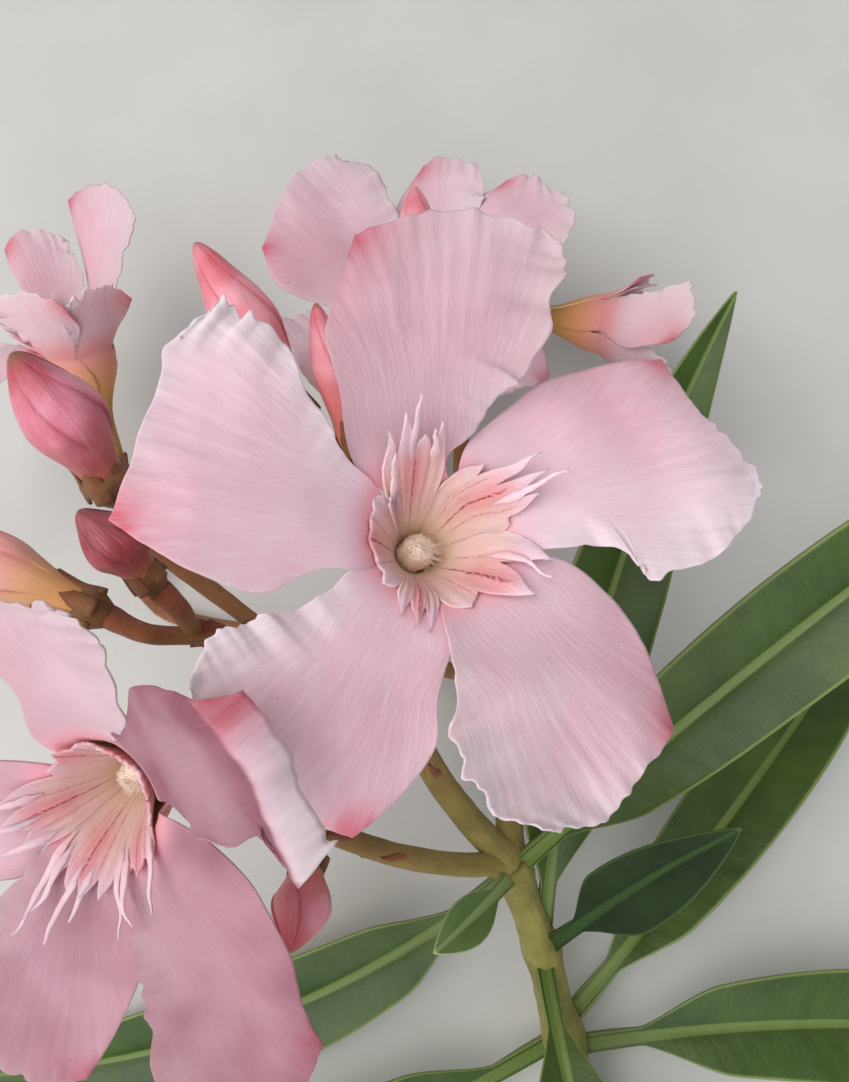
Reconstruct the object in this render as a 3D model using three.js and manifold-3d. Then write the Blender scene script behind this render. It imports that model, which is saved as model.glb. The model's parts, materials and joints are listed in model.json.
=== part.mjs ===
// One flowering shoot of oleander, cut from the bush and laid down: a leafy stem that bends up at its tip, the
// forked stalks of its flower cluster, five open blooms, seven buds and nine leaves.
// Millimetres, +Z up. The shoot lies on Z = 0 with its cut end towards -Y and its flowers towards +Y.
import * as THREE from "three";
import { mergeVertices } from "three/addons/utils/BufferGeometryUtils.js";
import Module from "manifold-3d";

const wasm = await Module();
wasm.setup();

// Driving sizes of the whole shoot.
const CLEARANCE = 0.3; // between two pieces that meet
const FINEST = 0.1; // the least detail that a join keeps
const LAID_AT = [-17.83, 1.87, 0.005]; // puts the centre of the footprint at the origin
const CLUSTER_LEAN = 14; // the whole cluster leans this much towards -Y
const STEM = { sides: 10, steps: 12, cutRadius: 2.6, tipRadius: 2.1 };
const LIMB = { sides: 8, steps: 7 };
const BRACT = { radius: 1, length: 4.2, flatness: 0.45, share: 0.55 };

// An open bloom of full size: its narrow tube, the funnel of the throat, five lobes and the fringe between them.
const BLOOM = {
  petals: 5,
  tubeLength: 25,
  funnelDepth: 12,
  throatRadius: 4.9,
  wall: 0.7,
  tubeRadius: 1.6,
  petalThickness: 0.6,
  petalSunk: 1.2,
  wrapLength: 9,
  cup: 0.9, // how much a lobe's edges rise, 10 mm from its middle line
  lean: 1.1, // and how much its plain side dips there, under its neighbour's ruffles
};

// The slope of a lobe, in degrees: steep at the throat's rim, settling within a few millimetres, then drooping.
const FLARE = { start: 62, ease: 3, droopReach: 20, steps: 12 };

// Outlines of lobes seen from the front, each as [out from the throat's rim, across]. Every lobe leans clockwise:
// its pointed corner is on the anticlockwise side, its ruffled side runs under the next. The plain and the ruffled
// side start at the root, the end at the pointed corner.
const LOBE_ROOT = [-2.8, 2.8];

// The lobes of a full bloom, from the right one round.
const LOBES = [
  {
    plain: [[5.4, 5.1], [9.6, 7.4], [15.9, 7]],
    end: [[23.9, 5], [23.8, -1.2], [24.4, -6], [22.9, -9.9]],
    ruffled: [[5.1, -4.4], [9.3, -11.4], [14.7, -12.6], [18.7, -12]],
  },
  {
    plain: [[7, 5.9], [12.7, 6.9], [16, 5.8]],
    end: [[22.4, 2.6], [23.2, -2.9], [22.2, -8.1], [18.9, -13.8]],
    ruffled: [[2.9, -1.9], [7.2, -6], [8.5, -9.6], [15.6, -13.6]],
  },
  {
    plain: [[5.9, 3.8], [10.1, 6.7], [15.4, 6.1]],
    end: [[22, 2.9], [20.9, -2.1], [20, -6.7], [17.2, -12.3]],
    ruffled: [[5.1, -3.9], [7.9, -7.5], [11.3, -12.3], [14.5, -13.2]],
  },
  {
    plain: [[4.1, 3.6], [7.8, 6.5], [11.8, 7], [17.3, 6.1]],
    end: [[21.1, 4.3], [22, -1.2], [21.2, -6], [18, -10.7]],
    ruffled: [[5.4, -3.9], [8, -7.2], [11.2, -9.8], [14.6, -11.1]],
  },
  {
    plain: [[4.4, 4.8], [8, 8.2], [12.2, 8.6], [16.5, 7.3]],
    end: [[20.6, 4.8], [20.9, -0.6], [21.4, -5.3], [19, -9.3]],
    ruffled: [[4.7, -4.4], [8.8, -11.3], [12.4, -12.6], [15.6, -11.9]],
  },
];

// The front bloom's lower left lobe hangs back and is seen shorter.
const FRONT_LOBES = [
  LOBES[0],
  LOBES[1],
  LOBES[2],
  {
    plain: [[5.8, 4.6], [10.5, 7.8], [15.9, 7.2]],
    end: [[19.9, 5.6], [20.8, -0.3], [19.4, -6], [16.6, -10.8]],
    ruffled: [[6, -4.5], [9.7, -9], [12.7, -11]],
  },
  LOBES[4],
];

// The low left bloom's are longer, and its upper one folds back near its end.
const LOW_LEFT_LOBES = [
  {
    plain: [[4.3, 4.6], [9.3, 8], [15.5, 7], [20, 4.5]],
    end: [[23.4, 2.8], [25.6, -1.9], [24.9, -7.8], [20.5, -11.8]],
    ruffled: [[5.2, -2.6], [7.8, -4.9], [10, -6.7], [12.7, -7.9], [17.1, -10.8]],
  },
  {
    plain: [[4, 2.6], [6.7, 2.4], [12.9, 3.9], [17.5, 3.6], [21.3, 2.4]],
    end: [[25.2, 0.2], [26.6, -2.1], [26.2, -4.5], [25.2, -6.9], [23.4, -9], [23.2, -12], [23.4, -13.4]],
    ruffled: [[5.7, -3.2], [10.2, -7.1], [17.2, -10], [20.2, -10.8], [20.8, -13.7]],
  },
  {
    plain: [[4, 2.8], [8, 2], [13, 4.3]],
    end: [[17.3, 8.7], [18.4, 2], [16.7, -4], [15, -10]],
    ruffled: [[3.5, -4.5], [7.5, -9.5], [11.5, -12]],
  },
  LOBES[3],
  {
    plain: [[4.9, 5.2], [9.2, 6.7], [16.5, 5.5]],
    end: [[24.1, 2.9], [26.5, -3], [25.5, -7], [22, -11]],
    ruffled: [[5.7, -4.4], [9.5, -8.5], [16.6, -11.5]],
  },
];

const BACK_LOBES = [
  {
    plain: [[3.8, 2.6], [10.7, 4.4], [16.1, 5.5]],
    end: [[20.5, 4.3], [23.5, 0.9], [22.8, -5.1]],
    ruffled: [[5, -4.5], [9, -10.5], [16.8, -11.4]],
  },
  {
    plain: [[5.4, 3.3], [11.5, 2.5], [17, 0]],
    end: [[20.8, -3.1], [21.7, -7.2], [17.8, -12.1]],
    ruffled: [[3.6, -3.9], [7.6, -8], [12, -11.8]],
  },
  {
    plain: [[4.4, 5.3], [8, 11.4], [13.8, 13.1]],
    end: [[19.6, 8.9], [22.7, -1.8], [22.4, -8.8], [19.7, -13.1]],
    ruffled: [[6.6, -5], [9.6, -11], [14.7, -14]],
  },
  LOBES[3],
  LOBES[4],
];

// The left and right blooms are only half open, and their near lobes are short.
const LEFT_LOBES = [
  {
    plain: [[3.6, 2.8], [6.5, 2.6], [14.7, 5.1]],
    end: [[24, 9.2], [24.9, 3.8], [22.8, -1.5], [18, -5.1]],
    ruffled: [[3.1, -2], [7.4, -2.2], [12.8, -4.4]],
  },
  {
    plain: [[4, 2.8], [7.8, 3.4], [13.3, 4.3]],
    end: [[17.9, 4.3], [18.6, -0.2], [16.1, -4.4]],
    ruffled: [[3.2, -2.9], [9.7, -5]],
  },
  {
    plain: [[4, 3.6], [9, 7], [14, 8]],
    end: [[19, 6], [20.5, -1], [17, -9]],
    ruffled: [[4.2, -4], [9, -9.5], [13, -10.8]],
  },
  {
    plain: [[3.4, 3.6], [6.4, 5.2]],
    end: [[9.6, 6], [11.6, 0.5], [9.8, -6.2]],
    ruffled: [[3.4, -3.8], [6.4, -6.4]],
  },
  {
    plain: [[3.4, 3.4], [6, 4.6]],
    end: [[8.6, 5.4], [10.2, 0.8], [9.2, -4.2]],
    ruffled: [[3.4, -3.2], [6.4, -4.4]],
  },
];

const RIGHT_LOBES = [
  {
    plain: [[3, 3.6], [8.8, 5.9]],
    end: [[14.9, 5.9], [17.8, 1.1], [14.6, -4.8]],
    ruffled: [[3.1, -2.4], [8.9, -3.6]],
  },
  {
    plain: [[3, 3.2], [7, 4.5]],
    end: [[12.5, 4.5], [14, 0.5], [11.5, -4.8]],
    ruffled: [[3.1, -2.6], [7, -4.2]],
  },
  {
    plain: [[3, 3.2], [7, 4.5]],
    end: [[12.5, 4.5], [14, 0.5], [11.5, -4.8]],
    ruffled: [[3.1, -2.6], [7, -4.2]],
  },
  {
    plain: [[3, 3.2], [7, 4.5]],
    end: [[12.5, 4.5], [14, 0.5], [11.5, -4.8]],
    ruffled: [[3.1, -2.6], [7, -4.2]],
  },
  {
    plain: [[2.5, 3], [5, 3.6]],
    end: [[8, 3.5], [8.6, 0.5], [7.2, -2.8]],
    ruffled: [[2.6, -2.6], [4.8, -3]],
  },
];

// One scale of the fringe at the throat: three teeth on a flap.
const FRINGE = {
  halfWidth: 2.5,
  foot: -1.5,
  flap: 4.2,
  teeth: [7.6, 9.2, 7.2],
  notch: 5,
  thickness: 0.45,
  settle: 34,
};
const ANTHERS = { radius: 1.9, tip: -4.5, shoulder: -5.4, waist: -7.5, root: -13 };
const CALYX = {
  footRadius: 1.2,
  cupRadius: 2.5,
  cupLength: 3.4,
  sepalLength: 6.4,
  sepalRadius: 1.1,
  sepalFoot: 1.6,
  flatness: 0.5,
  splay: 14,
};

// A bud's outline from its neck to its tip, as [share of its greatest radius, share of its length].
const BUD_OUTLINE = [[0.8, 0.42], [1, 0.56], [0.88, 0.7], [0.56, 0.84], [0.28, 0.95]];
const BUD = {
  tubeRadius: 1.7,
  neck: 0.28,
  swell: 3.3,
  pleats: 5,
  sides: 10,
  pleatDepth: 0.1,
  twist: 0.9,
  calyx: 0.8,
};

// A leaf of full length has this thickness. Shorter ones are thinner, down to the least.
const LEAF = {
  fullLength: 104,
  thickness: 1.15,
  leastThickness: 0.5,
  petiole: 7,
  petioleHalf: 1.1,
  fold: 16,
  tipHalf: 0.35,
  across: 4,
  along: 9,
};

const COLOURS = {
  stem: 0x7d7a3a,
  stalk: 0x7a4a32,
  leaf: 0x4c7028,
  petal: 0xe6bccb,
  bud: 0xd2566b,
};

const radians = THREE.MathUtils.degToRad;
const smooth = THREE.MathUtils.smoothstep;
const lerp = THREE.MathUtils.lerp;
const vector = (point) => new THREE.Vector3(...point);

/** The unit vector of a heading in the ground plane and a rise above it, both in degrees. */
function heading(azimuth, elevation) {
  const [a, e] = [radians(azimuth), radians(elevation)];
  return new THREE.Vector3(Math.cos(e) * Math.cos(a), Math.cos(e) * Math.sin(a), Math.sin(e));
}

/** A closed three.js geometry as a solid. */
function solidOf(geometry) {
  geometry.deleteAttribute("normal");
  geometry.deleteAttribute("uv");
  const merged = mergeVertices(geometry, 1e-4);
  return new wasm.Manifold(
    new wasm.Mesh({
      numProp: 3,
      vertProperties: merged.attributes.position.array,
      triVerts: new Uint32Array(merged.index.array),
    }),
  );
}

/** Solids as one, without the slivers that a join leaves in its flat places. */
const fuse = (solids) => solids.reduce((whole, next) => whole.add(next)).asOriginal().simplify(FINEST);

/** What is left of a solid that keeps clear of others, without any loose scrap. */
function trimmed(solid, others) {
  const left = others.reduce((rest, other) => rest.subtract(other), solid);
  return left.decompose().sort((a, b) => b.volume() - a.volume())[0].asOriginal().simplify(FINEST);
}

/** Moves every vertex of a geometry by a function of its place. */
function reshape(geometry, move) {
  const place = geometry.attributes.position;
  const from = new THREE.Vector3();
  for (let i = 0; i < place.count; i += 1) {
    const to = move(from.fromBufferAttribute(place, i));
    place.setXYZ(i, to.x, to.y, to.z);
  }
  return geometry;
}

/** A sheet whose middle is surface(u, v): the grid of a box, moved onto it and set off along its normal. */
function sheetSolid(surface, across, along, thickness) {
  const step = 1e-3;
  const at = (u, v) => surface(THREE.MathUtils.clamp(u, 0, 1), THREE.MathUtils.clamp(v, 0, 1));
  return solidOf(
    reshape(new THREE.BoxGeometry(1, 1, 1, across, along, 1), ({ x, y, z }) => {
      const [u, v] = [x + 0.5, y + 0.5];
      const alongU = at(u + step, v).sub(at(u - step, v));
      const alongV = at(u, v + step).sub(at(u, v - step));
      return at(u, v).addScaledVector(alongU.cross(alongV).normalize(), z * thickness);
    }),
  );
}

/** A profile of [radius, height] pairs turned round +Z. */
function turned(profile, sides) {
  const points = profile.map(([radius, height]) => new THREE.Vector2(radius, height));
  return new THREE.LatheGeometry(points, sides).rotateX(Math.PI / 2);
}

/** A tapering limb along a curve through some points: the rings of a cylinder, moved onto the curve. */
class Limb {
  constructor(points, startRadius, endRadius, { sides, steps } = LIMB) {
    this.curve = new THREE.CatmullRomCurve3(points.map(vector), false, "centripetal");
    this.radii = [startRadius, endRadius];
    this.sides = sides;
    this.steps = steps;
    this.frames = this.curve.computeFrenetFrames(steps);
    this.solid = this.grown(0);
    this.swollen = this.grown(CLEARANCE);
  }

  /** The limb with its skin set out by a margin, at both ends too. */
  grown(margin) {
    const shape = new THREE.CylinderGeometry(1, 1, 1, this.sides, this.steps);
    const moved = reshape(shape, ({ x, y, z }) => {
      const t = y + 0.5;
      const ring = Math.round(t * this.steps);
      const radius = lerp(...this.radii, t) + margin;
      const overrun = ring === 0 ? -margin : ring === this.steps ? margin : 0;
      return this.curve
        .getPointAt(t)
        .addScaledVector(this.frames.tangents[ring], overrun)
        .addScaledVector(this.frames.binormals[ring], x * radius)
        .addScaledVector(this.frames.normals[ring], z * radius);
    });
    return solidOf(moved);
  }

  /** The limb's point at a share of its length. */
  at(share) {
    return this.curve.getPointAt(share);
  }
}

/** How far out and up a strip has come after a length, if its slope eases from the rim's to another and droops. */
function flare(length, settle, droop) {
  const { start, ease, droopReach, steps } = FLARE;
  const step = length / steps;
  let [out, up] = [0, 0];
  for (let i = 0; i < steps; i += 1) {
    const s = (i + 0.5) * step;
    const eased = (start - settle) * Math.exp(-Math.max(s, 0) / ease);
    const slope = radians(settle + eased - droop * (s / droopReach) ** 2);
    out += Math.cos(slope) * step;
    up += Math.sin(slope) * step;
  }
  return [out, up];
}

const side = (points) => new THREE.SplineCurve(points.map(([out, across]) => new THREE.Vector2(out, across)));
const sidesOf = ({ plain, end, ruffled }) => ({
  root: side([[0, LOBE_ROOT[0]], [0, LOBE_ROOT[1]]]),
  end: side(end.toReversed()),
  ruffled: side([[0, LOBE_ROOT[0]], ...ruffled, end.at(-1)]),
  plain: side([[0, LOBE_ROOT[1]], ...plain, end[0]]),
});

/** The place on a flat lobe of a share across it and a share along it. */
function onLobe({ root, end, ruffled, plain }, u, v) {
  const corners = root
    .getPoint(0)
    .multiplyScalar((1 - u) * (1 - v))
    .addScaledVector(root.getPoint(1), u * (1 - v))
    .addScaledVector(end.getPoint(0), (1 - u) * v)
    .addScaledVector(end.getPoint(1), u * v);
  return root
    .getPoint(u)
    .multiplyScalar(1 - v)
    .addScaledVector(end.getPoint(u), v)
    .addScaledVector(ruffled.getPoint(v), 1 - u)
    .addScaledVector(plain.getPoint(v), u)
    .sub(corners);
}

/**
 * The surface of one lobe of a bloom that looks along +Z, its throat's rim at the origin. A creased lobe falls back
 * past a share of its length.
 */
function petalSurface(sides, { size, turn, lift, droop, crease }) {
  const spin = radians(turn);
  return (u, v) => {
    const flat = onLobe(sides, u, v).multiplyScalar(size);
    const throat = BLOOM.throatRadius * size;
    const [out, up] = flare(flat.x, lift, droop);
    const spread = smooth(flat.x, 0, BLOOM.wrapLength);
    const wrapped = new THREE.Vector2(throat + out, 0).rotateAround(new THREE.Vector2(), flat.y / throat);
    const place = wrapped.lerp(new THREE.Vector2(throat + out, flat.y), spread);
    const cupped = spread * (BLOOM.cup * (flat.y / 10) ** 2 - BLOOM.lean * (flat.y / 10));
    const fallen = crease ? crease.drop * (Math.max(0, v - crease.share) / (1 - crease.share)) ** 1.3 : 0;
    place.rotateAround(new THREE.Vector2(), spin);
    return new THREE.Vector3(place.x, place.y, up - BLOOM.petalSunk + cupped - fallen);
  };
}

/** A scale of the fringe: a flap with three teeth, bent as it leaves the throat. */
function fringeSolid(size, turn, settle) {
  const { halfWidth, foot, flap, teeth, notch, thickness } = FRINGE;
  const outline = new THREE.Shape([
    new THREE.Vector2(-halfWidth, foot),
    new THREE.Vector2(halfWidth, foot),
    new THREE.Vector2(halfWidth, flap),
    new THREE.Vector2(halfWidth * 0.9, teeth[0]),
    new THREE.Vector2(halfWidth * 0.4, notch),
    new THREE.Vector2(0, teeth[1]),
    new THREE.Vector2(-halfWidth * 0.4, notch),
    new THREE.Vector2(-halfWidth * 0.9, teeth[2]),
    new THREE.Vector2(-halfWidth, flap),
  ]);
  const shape = new THREE.ExtrudeGeometry(outline, { depth: thickness, bevelEnabled: false });
  const bent = reshape(shape, ({ x, y, z }) => {
    const [out, up] = flare(y * size, settle, 0);
    const inward = BLOOM.throatRadius * size - 0.2 + out - z * 0.8;
    return new THREE.Vector3(inward, -x * size, up + z * 0.6);
  });
  return solidOf(bent.rotateZ(radians(turn)));
}

/** Five sepals round a short cup, from z = 0 upwards. */
function calyxSolid(size) {
  const { footRadius, cupRadius, cupLength, sepalLength, sepalRadius, sepalFoot, flatness, splay } = CALYX;
  const widest = cupRadius * size;
  const profile = [
    [0, 0],
    [footRadius * size, 0],
    [widest, cupLength * 0.7],
    [widest * 0.8, cupLength],
    [0, cupLength],
  ];
  const sepals = Array.from({ length: BLOOM.petals }, (_, i) => {
    const blade = new THREE.ConeGeometry(sepalRadius * size, sepalLength * size, 4).rotateX(Math.PI / 2);
    blade.scale(flatness, 1, 1).rotateY(radians(splay));
    blade.translate(widest * 0.95, 0, sepalLength * size * 0.5 + sepalFoot);
    return solidOf(blade.rotateZ(radians((360 / BLOOM.petals) * i)));
  });
  return fuse([solidOf(turned(profile, 10)), ...sepals]);
}

/** A whole bloom that looks along +Z, its throat's rim at the origin. */
function bloomSolid({ size, turns, lifts, droop, grid, lobes, creases = {} }) {
  const { tubeLength, funnelDepth, throatRadius, wall, tubeRadius, petalThickness } = BLOOM;
  const [throat, floor, foot] = [throatRadius * size, -funnelDepth * size, -tubeLength * size];
  const funnel = turned(
    [
      [0, foot + 1],
      [tubeRadius * size, foot + 1],
      [tubeRadius * size + 0.3, floor - 1],
      [throat * 0.72 + wall, floor * 0.5],
      [throat + wall, 0],
      [throat, 0],
      [throat * 0.72, floor * 0.5],
      [tubeRadius * size * 0.8, floor + 1],
      [0, floor],
    ],
    10,
  );
  const anthers = turned(
    [
      [0, ANTHERS.root * size],
      [ANTHERS.radius * size * 0.6, ANTHERS.root * size],
      [ANTHERS.radius * size, ANTHERS.waist * size],
      [ANTHERS.radius * size * 0.8, ANTHERS.shoulder * size],
      [0, ANTHERS.tip * size],
    ],
    8,
  );
  const petals = turns.map((turn, i) => {
    const set = { size, turn, lift: lifts[i], droop, crease: creases[i] };
    return sheetSolid(petalSurface(sidesOf(lobes[i]), set), ...grid, petalThickness);
  });
  const fringes = turns.map((turn, i) => fringeSolid(size, turn, Math.max(lifts[i] + 12, FRINGE.settle)));
  const calyx = calyxSolid(size).translate([0, 0, foot]);
  return fuse([solidOf(funnel), solidOf(anthers), calyx, ...petals, ...fringes]);
}

/** A furled bud along +Z with its calyx at the foot: five pleats wound round a spindle. */
function budSolid({ length, girth }) {
  const { tubeRadius, neck, swell, pleats, sides, pleatDepth, twist, calyx } = BUD;
  const profile = [
    [0, 1],
    [tubeRadius * girth, 1],
    [tubeRadius * girth * 1.15, length * neck],
    ...BUD_OUTLINE.map(([wide, high]) => [swell * girth * wide, length * high]),
    [0, length],
  ];
  const pleated = reshape(turned(profile, sides), (at) => {
    const share = at.z / length;
    const phase = (Math.atan2(at.y, at.x) / (2 * Math.PI)) * pleats + twist * share + pleats;
    const step = 1 + pleatDepth * smooth(share, 0.25, 0.5) * (0.5 - (phase % 1));
    return new THREE.Vector3(at.x * step, at.y * step, at.z);
  });
  return fuse([solidOf(pleated), calyxSolid(calyx * girth)]);
}

/** The surface of a leaf from a point. Its rib bends evenly from one rise to another, and its heading turns. */
function leafSurface(from, { azimuth, sweep, rise, fall, length, width, roll }) {
  const steps = 24;
  const rib = [from.clone()];
  const way = (share) => heading(azimuth + sweep * share, lerp(rise, fall, share));
  for (let i = 0; i < steps; i += 1) {
    rib.push(rib[i].clone().addScaledVector(way((i + 0.5) / steps), length / steps));
  }
  return (u, v) => {
    const i = Math.min(Math.floor(v * steps), steps - 1);
    const centre = rib[i].clone().lerp(rib[i + 1], v * steps - i);
    const forward = way(v);
    const flat = heading(azimuth + sweep * v - 90, 0);
    const up = flat.clone().cross(forward);
    const tilt = radians(roll);
    const right = flat.clone().multiplyScalar(Math.cos(tilt)).addScaledVector(up, Math.sin(tilt));
    const face = up.clone().multiplyScalar(Math.cos(tilt)).addScaledVector(flat, -Math.sin(tilt));
    const blade = (width / 2) * Math.sin(Math.PI * v ** 0.9) ** 0.85;
    const base = lerp(LEAF.petioleHalf, LEAF.tipHalf, v);
    const half = Math.max(base, blade * smooth(v * length, LEAF.petiole * 0.5, LEAF.petiole * 3));
    const across = (u - 0.5) * 2 * half;
    const fold = radians(LEAF.fold);
    return centre
      .addScaledVector(right, across * Math.cos(fold))
      .addScaledVector(face, Math.abs(across) * Math.sin(fold));
  };
}

const shoot = new THREE.Group();
shoot.name = "oleander_shoot";
shoot.position.set(...LAID_AT);

/** Adds a solid to the shoot as a named mesh, at a place and a turn of its own if it has them. */
function place(name, solid, colour, position = [0, 0, 0], quaternion = new THREE.Quaternion()) {
  const { vertProperties, triVerts } = solid.getMesh();
  const geometry = new THREE.BufferGeometry();
  geometry.setAttribute("position", new THREE.BufferAttribute(vertProperties, 3));
  geometry.setIndex(new THREE.BufferAttribute(triVerts, 1));
  geometry.computeVertexNormals();
  const finish = new THREE.MeshStandardMaterial({ color: colour, roughness: 0.6, metalness: 0, flatShading: true });
  const mesh = new THREE.Mesh(geometry, finish);
  mesh.name = name;
  mesh.position.set(...position);
  mesh.quaternion.copy(quaternion);
  shoot.add(mesh);
}

/** The turn that points local +Z along a direction and keeps local +Y as near to the shoot's +Y as it can. */
function lookingAlong(direction) {
  const z = direction.clone().normalize();
  const x = new THREE.Vector3(0, 1, 0).cross(z).normalize();
  return new THREE.Quaternion().setFromRotationMatrix(new THREE.Matrix4().makeBasis(x, z.clone().cross(x), z));
}

/** The turn of a bloom that is tilted from the cluster's common front, towards an angle on its face. */
function facing(tilt, towards) {
  const t = radians(towards);
  const hinge = new THREE.Vector3(-Math.sin(t), Math.cos(t), 0);
  const front = new THREE.Quaternion().setFromAxisAngle(new THREE.Vector3(1, 0, 0), radians(CLUSTER_LEAN));
  return front.multiply(new THREE.Quaternion().setFromAxisAngle(hinge, radians(tilt)));
}

// The stem, from the cut to the fork under the flowers.
const fork = [10.7, -9.6, 15.7];
const stemPoints = [
  [25.5, -84, 2.6],
  [23, -62, 2.7],
  [20.5, -45, 3.7],
  [17.6, -30, 6.3],
  [14.6, -19, 9.6],
  fork,
];
const stem = new Limb(stemPoints, STEM.cutRadius, STEM.tipRadius, STEM);
place("stem", stem.solid, COLOURS.stem);

/** The small bract that sits on a limb, with its skin set out by a margin. */
function bractSolid(limb, margin) {
  const turn = lookingAlong(limb.curve.getTangentAt(BRACT.share));
  const seat = new THREE.Matrix4().compose(limb.at(BRACT.share), turn, new THREE.Vector3(1, 1, 1));
  const blade = new THREE.ConeGeometry(BRACT.radius + margin, BRACT.length + 3 * margin, 4);
  blade.scale(1, 1, BRACT.flatness + margin / 2).rotateX(Math.PI / 2);
  return solidOf(blade.translate(limb.radii[0] + 0.2, 0, 1).applyMatrix4(seat));
}

// The forked stalks of the cluster. Each starts inside its parent and is trimmed clear of it.
const secondFork = [-2.2, 8, 29];
const limbs = { stem };
const peduncles = [
  {
    name: "front", radii: [1.85, 1.5], clear: ["stem"],
    points: [fork, [6, -5, 18.5], [1, 1.5, 23.5], [-3.4, 10.4, 31]],
  },
  {
    name: "lower", radii: [1.5, 1.2], clear: ["stem", "front"],
    points: [fork, [4.5, -9.6, 20], [-3.5, -8, 25.5], [-12, -4.5, 34.5]],
  },
  {
    name: "back", radii: [1.8, 1.4], clear: ["stem", "front", "lower"],
    points: [fork, [10.5, 2, 12.8], [6.5, 20, 9], [0.5, 37, 8.5]],
  },
  {
    name: "left", radii: [1.4, 1.2], clear: ["front"],
    points: [secondFork, [-9, 13, 34], [-17.5, 14.6, 39], [-24.1, 15.4, 42.5]],
  },
  {
    name: "upper", radii: [1.35, 1.1], clear: ["front", "left"],
    points: [secondFork, [-3.6, 16, 31.5], [-5.4, 23.5, 33], [-6.4, 28, 33.8]],
  },
];
for (const { name, points, radii, clear } of peduncles) {
  const limb = new Limb(points, ...radii);
  limbs[name] = limb;
  const whole = limb.solid.add(bractSolid(limb, 0));
  limb.swollen = limb.swollen.add(bractSolid(limb, CLEARANCE));
  place(`peduncle_${name}`, trimmed(whole, clear.map((parent) => limbs[parent].swollen)), COLOURS.stalk);
}

const grown = Object.values(limbs).map((limb) => limb.swollen);

/**
 * A stalk from a limb to the foot of a flower or bud, arriving along its axis and clear of all that grew before. One
 * that has to go round another flower's foot goes by a place of its own.
 */
function growStalk(name, { parent, share, bend = 0.3, by }, foot, axis, radii) {
  const start = limbs[parent].at(share);
  const end = foot.clone().addScaledVector(axis, -CLEARANCE);
  const reach = start.distanceTo(end);
  const before = end.clone().addScaledVector(axis, -reach * bend);
  const near = by ? vector(by) : start.clone().lerp(before, 0.45);
  const points = [start, near, before, end].map((point) => point.toArray());
  const limb = new Limb(points, ...radii, { sides: 8, steps: 5 });
  place(name, trimmed(limb.solid, grown), COLOURS.stalk);
  grown.push(limb.swollen);
}

// The open blooms: where the throat's rim lies, how far and which way it is tilted, and each lobe's turn and rise.
const blooms = [
  {
    name: "front", throat: [0.9, 19.8, 66.3], tilt: 24, towards: 42, size: 1, grid: [5, 6], lobes: FRONT_LOBES,
    turns: [28, 100, 176, 240, 308], lifts: [8, 14, 14, -6, 8], droop: 8, parent: "front", share: 1,
  },
  {
    name: "low_left", throat: [-27.1, -1.3, 59.3], tilt: 24, towards: 216, size: 0.976, grid: [5, 6],
    lobes: LOW_LEFT_LOBES, turns: [-46, 42, 106, 190, 256], lifts: [10, 32, 20, 8, 8], droop: 8,
    creases: { 1: { share: 0.87, drop: 3.5 } }, parent: "left", share: 0.4,
  },
  {
    name: "left", throat: [-45.6, 56.2, 26.6], tilt: 65, towards: 99, size: 0.9, grid: [4, 4], lobes: LEFT_LOBES,
    turns: [75, 125, 205, 262, 325], lifts: [60, 64, -35, 70, 64], droop: 6, parent: "back", share: 0.5,
  },
  {
    name: "back", throat: [0.1, 60.8, 29.1], tilt: 36, towards: 84, size: 0.88, grid: [4, 4], lobes: BACK_LOBES,
    turns: [50, 100, 150, 238, 300], lifts: [20, 14, 20, 2, 8], droop: 8, parent: "back", share: 1, bend: 0.22,
  },
  {
    name: "right", throat: [26.6, 63.1, 17.3], tilt: 76, towards: -10, size: 0.8, grid: [4, 4], lobes: RIGHT_LOBES,
    turns: [165, 237, 309, 21, 93], lifts: [66, 74, 74, 76, 60], droop: 8, parent: "back", share: 0.82, bend: 0.12,
    by: [5.5, 50, 5.5],
  },
];
for (const bloom of blooms) {
  const turn = facing(bloom.tilt, bloom.towards);
  const axis = new THREE.Vector3(0, 0, 1).applyQuaternion(turn);
  place(`bloom_${bloom.name}`, bloomSolid(bloom), COLOURS.petal, bloom.throat, turn);
  const foot = vector(bloom.throat).addScaledVector(axis, -BLOOM.tubeLength * bloom.size);
  growStalk(`stalk_bloom_${bloom.name}`, bloom, foot, axis, [1.1, 1.25]);
}

// The buds, each from the foot of its calyx to its tip.
const buds = [
  { name: "upper", foot: [-12.9, 38.8, 40.1], tip: [-23.6, 54, 54.2], girth: 1, parent: "upper", share: 1 },
  { name: "large", foot: [-31.4, 28.5, 46.8], tip: [-38.2, 38.7, 60.7], girth: 1.2, parent: "left", share: 0.62 },
  { name: "tip", foot: [-25.8, 18.3, 50.5], tip: [-31.9, 24.4, 57.6], girth: 0.85, parent: "left", share: 1 },
  { name: "inner", foot: [-8.3, 35.6, 37.2], tip: [-12, 51.3, 46.3], girth: 0.72, parent: "upper", share: 0.72 },
  { name: "low", foot: [-11.9, -6.4, 38], tip: [-12.9, -15.5, 45.1], girth: 0.9, parent: "lower", share: 1 },
  { name: "top", foot: [0.1, 50, 45], tip: [-1.1, 67.3, 44.1], girth: 0.75, parent: "upper", share: 0.42 },
  { name: "opening", foot: [-31.7, 16.2, 46.8], tip: [-50, 24.2, 51.6], girth: 1, parent: "left", share: 0.86 },
];
for (const bud of buds) {
  const { name, foot, tip, girth } = bud;
  const axis = vector(tip).sub(vector(foot));
  const length = axis.length();
  axis.normalize();
  place(`bud_${name}`, budSolid({ length, girth }), COLOURS.bud, foot, lookingAlong(axis));
  growStalk(`stalk_bud_${name}`, bud, vector(foot), axis, [0.95, 1.05]);
}

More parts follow.
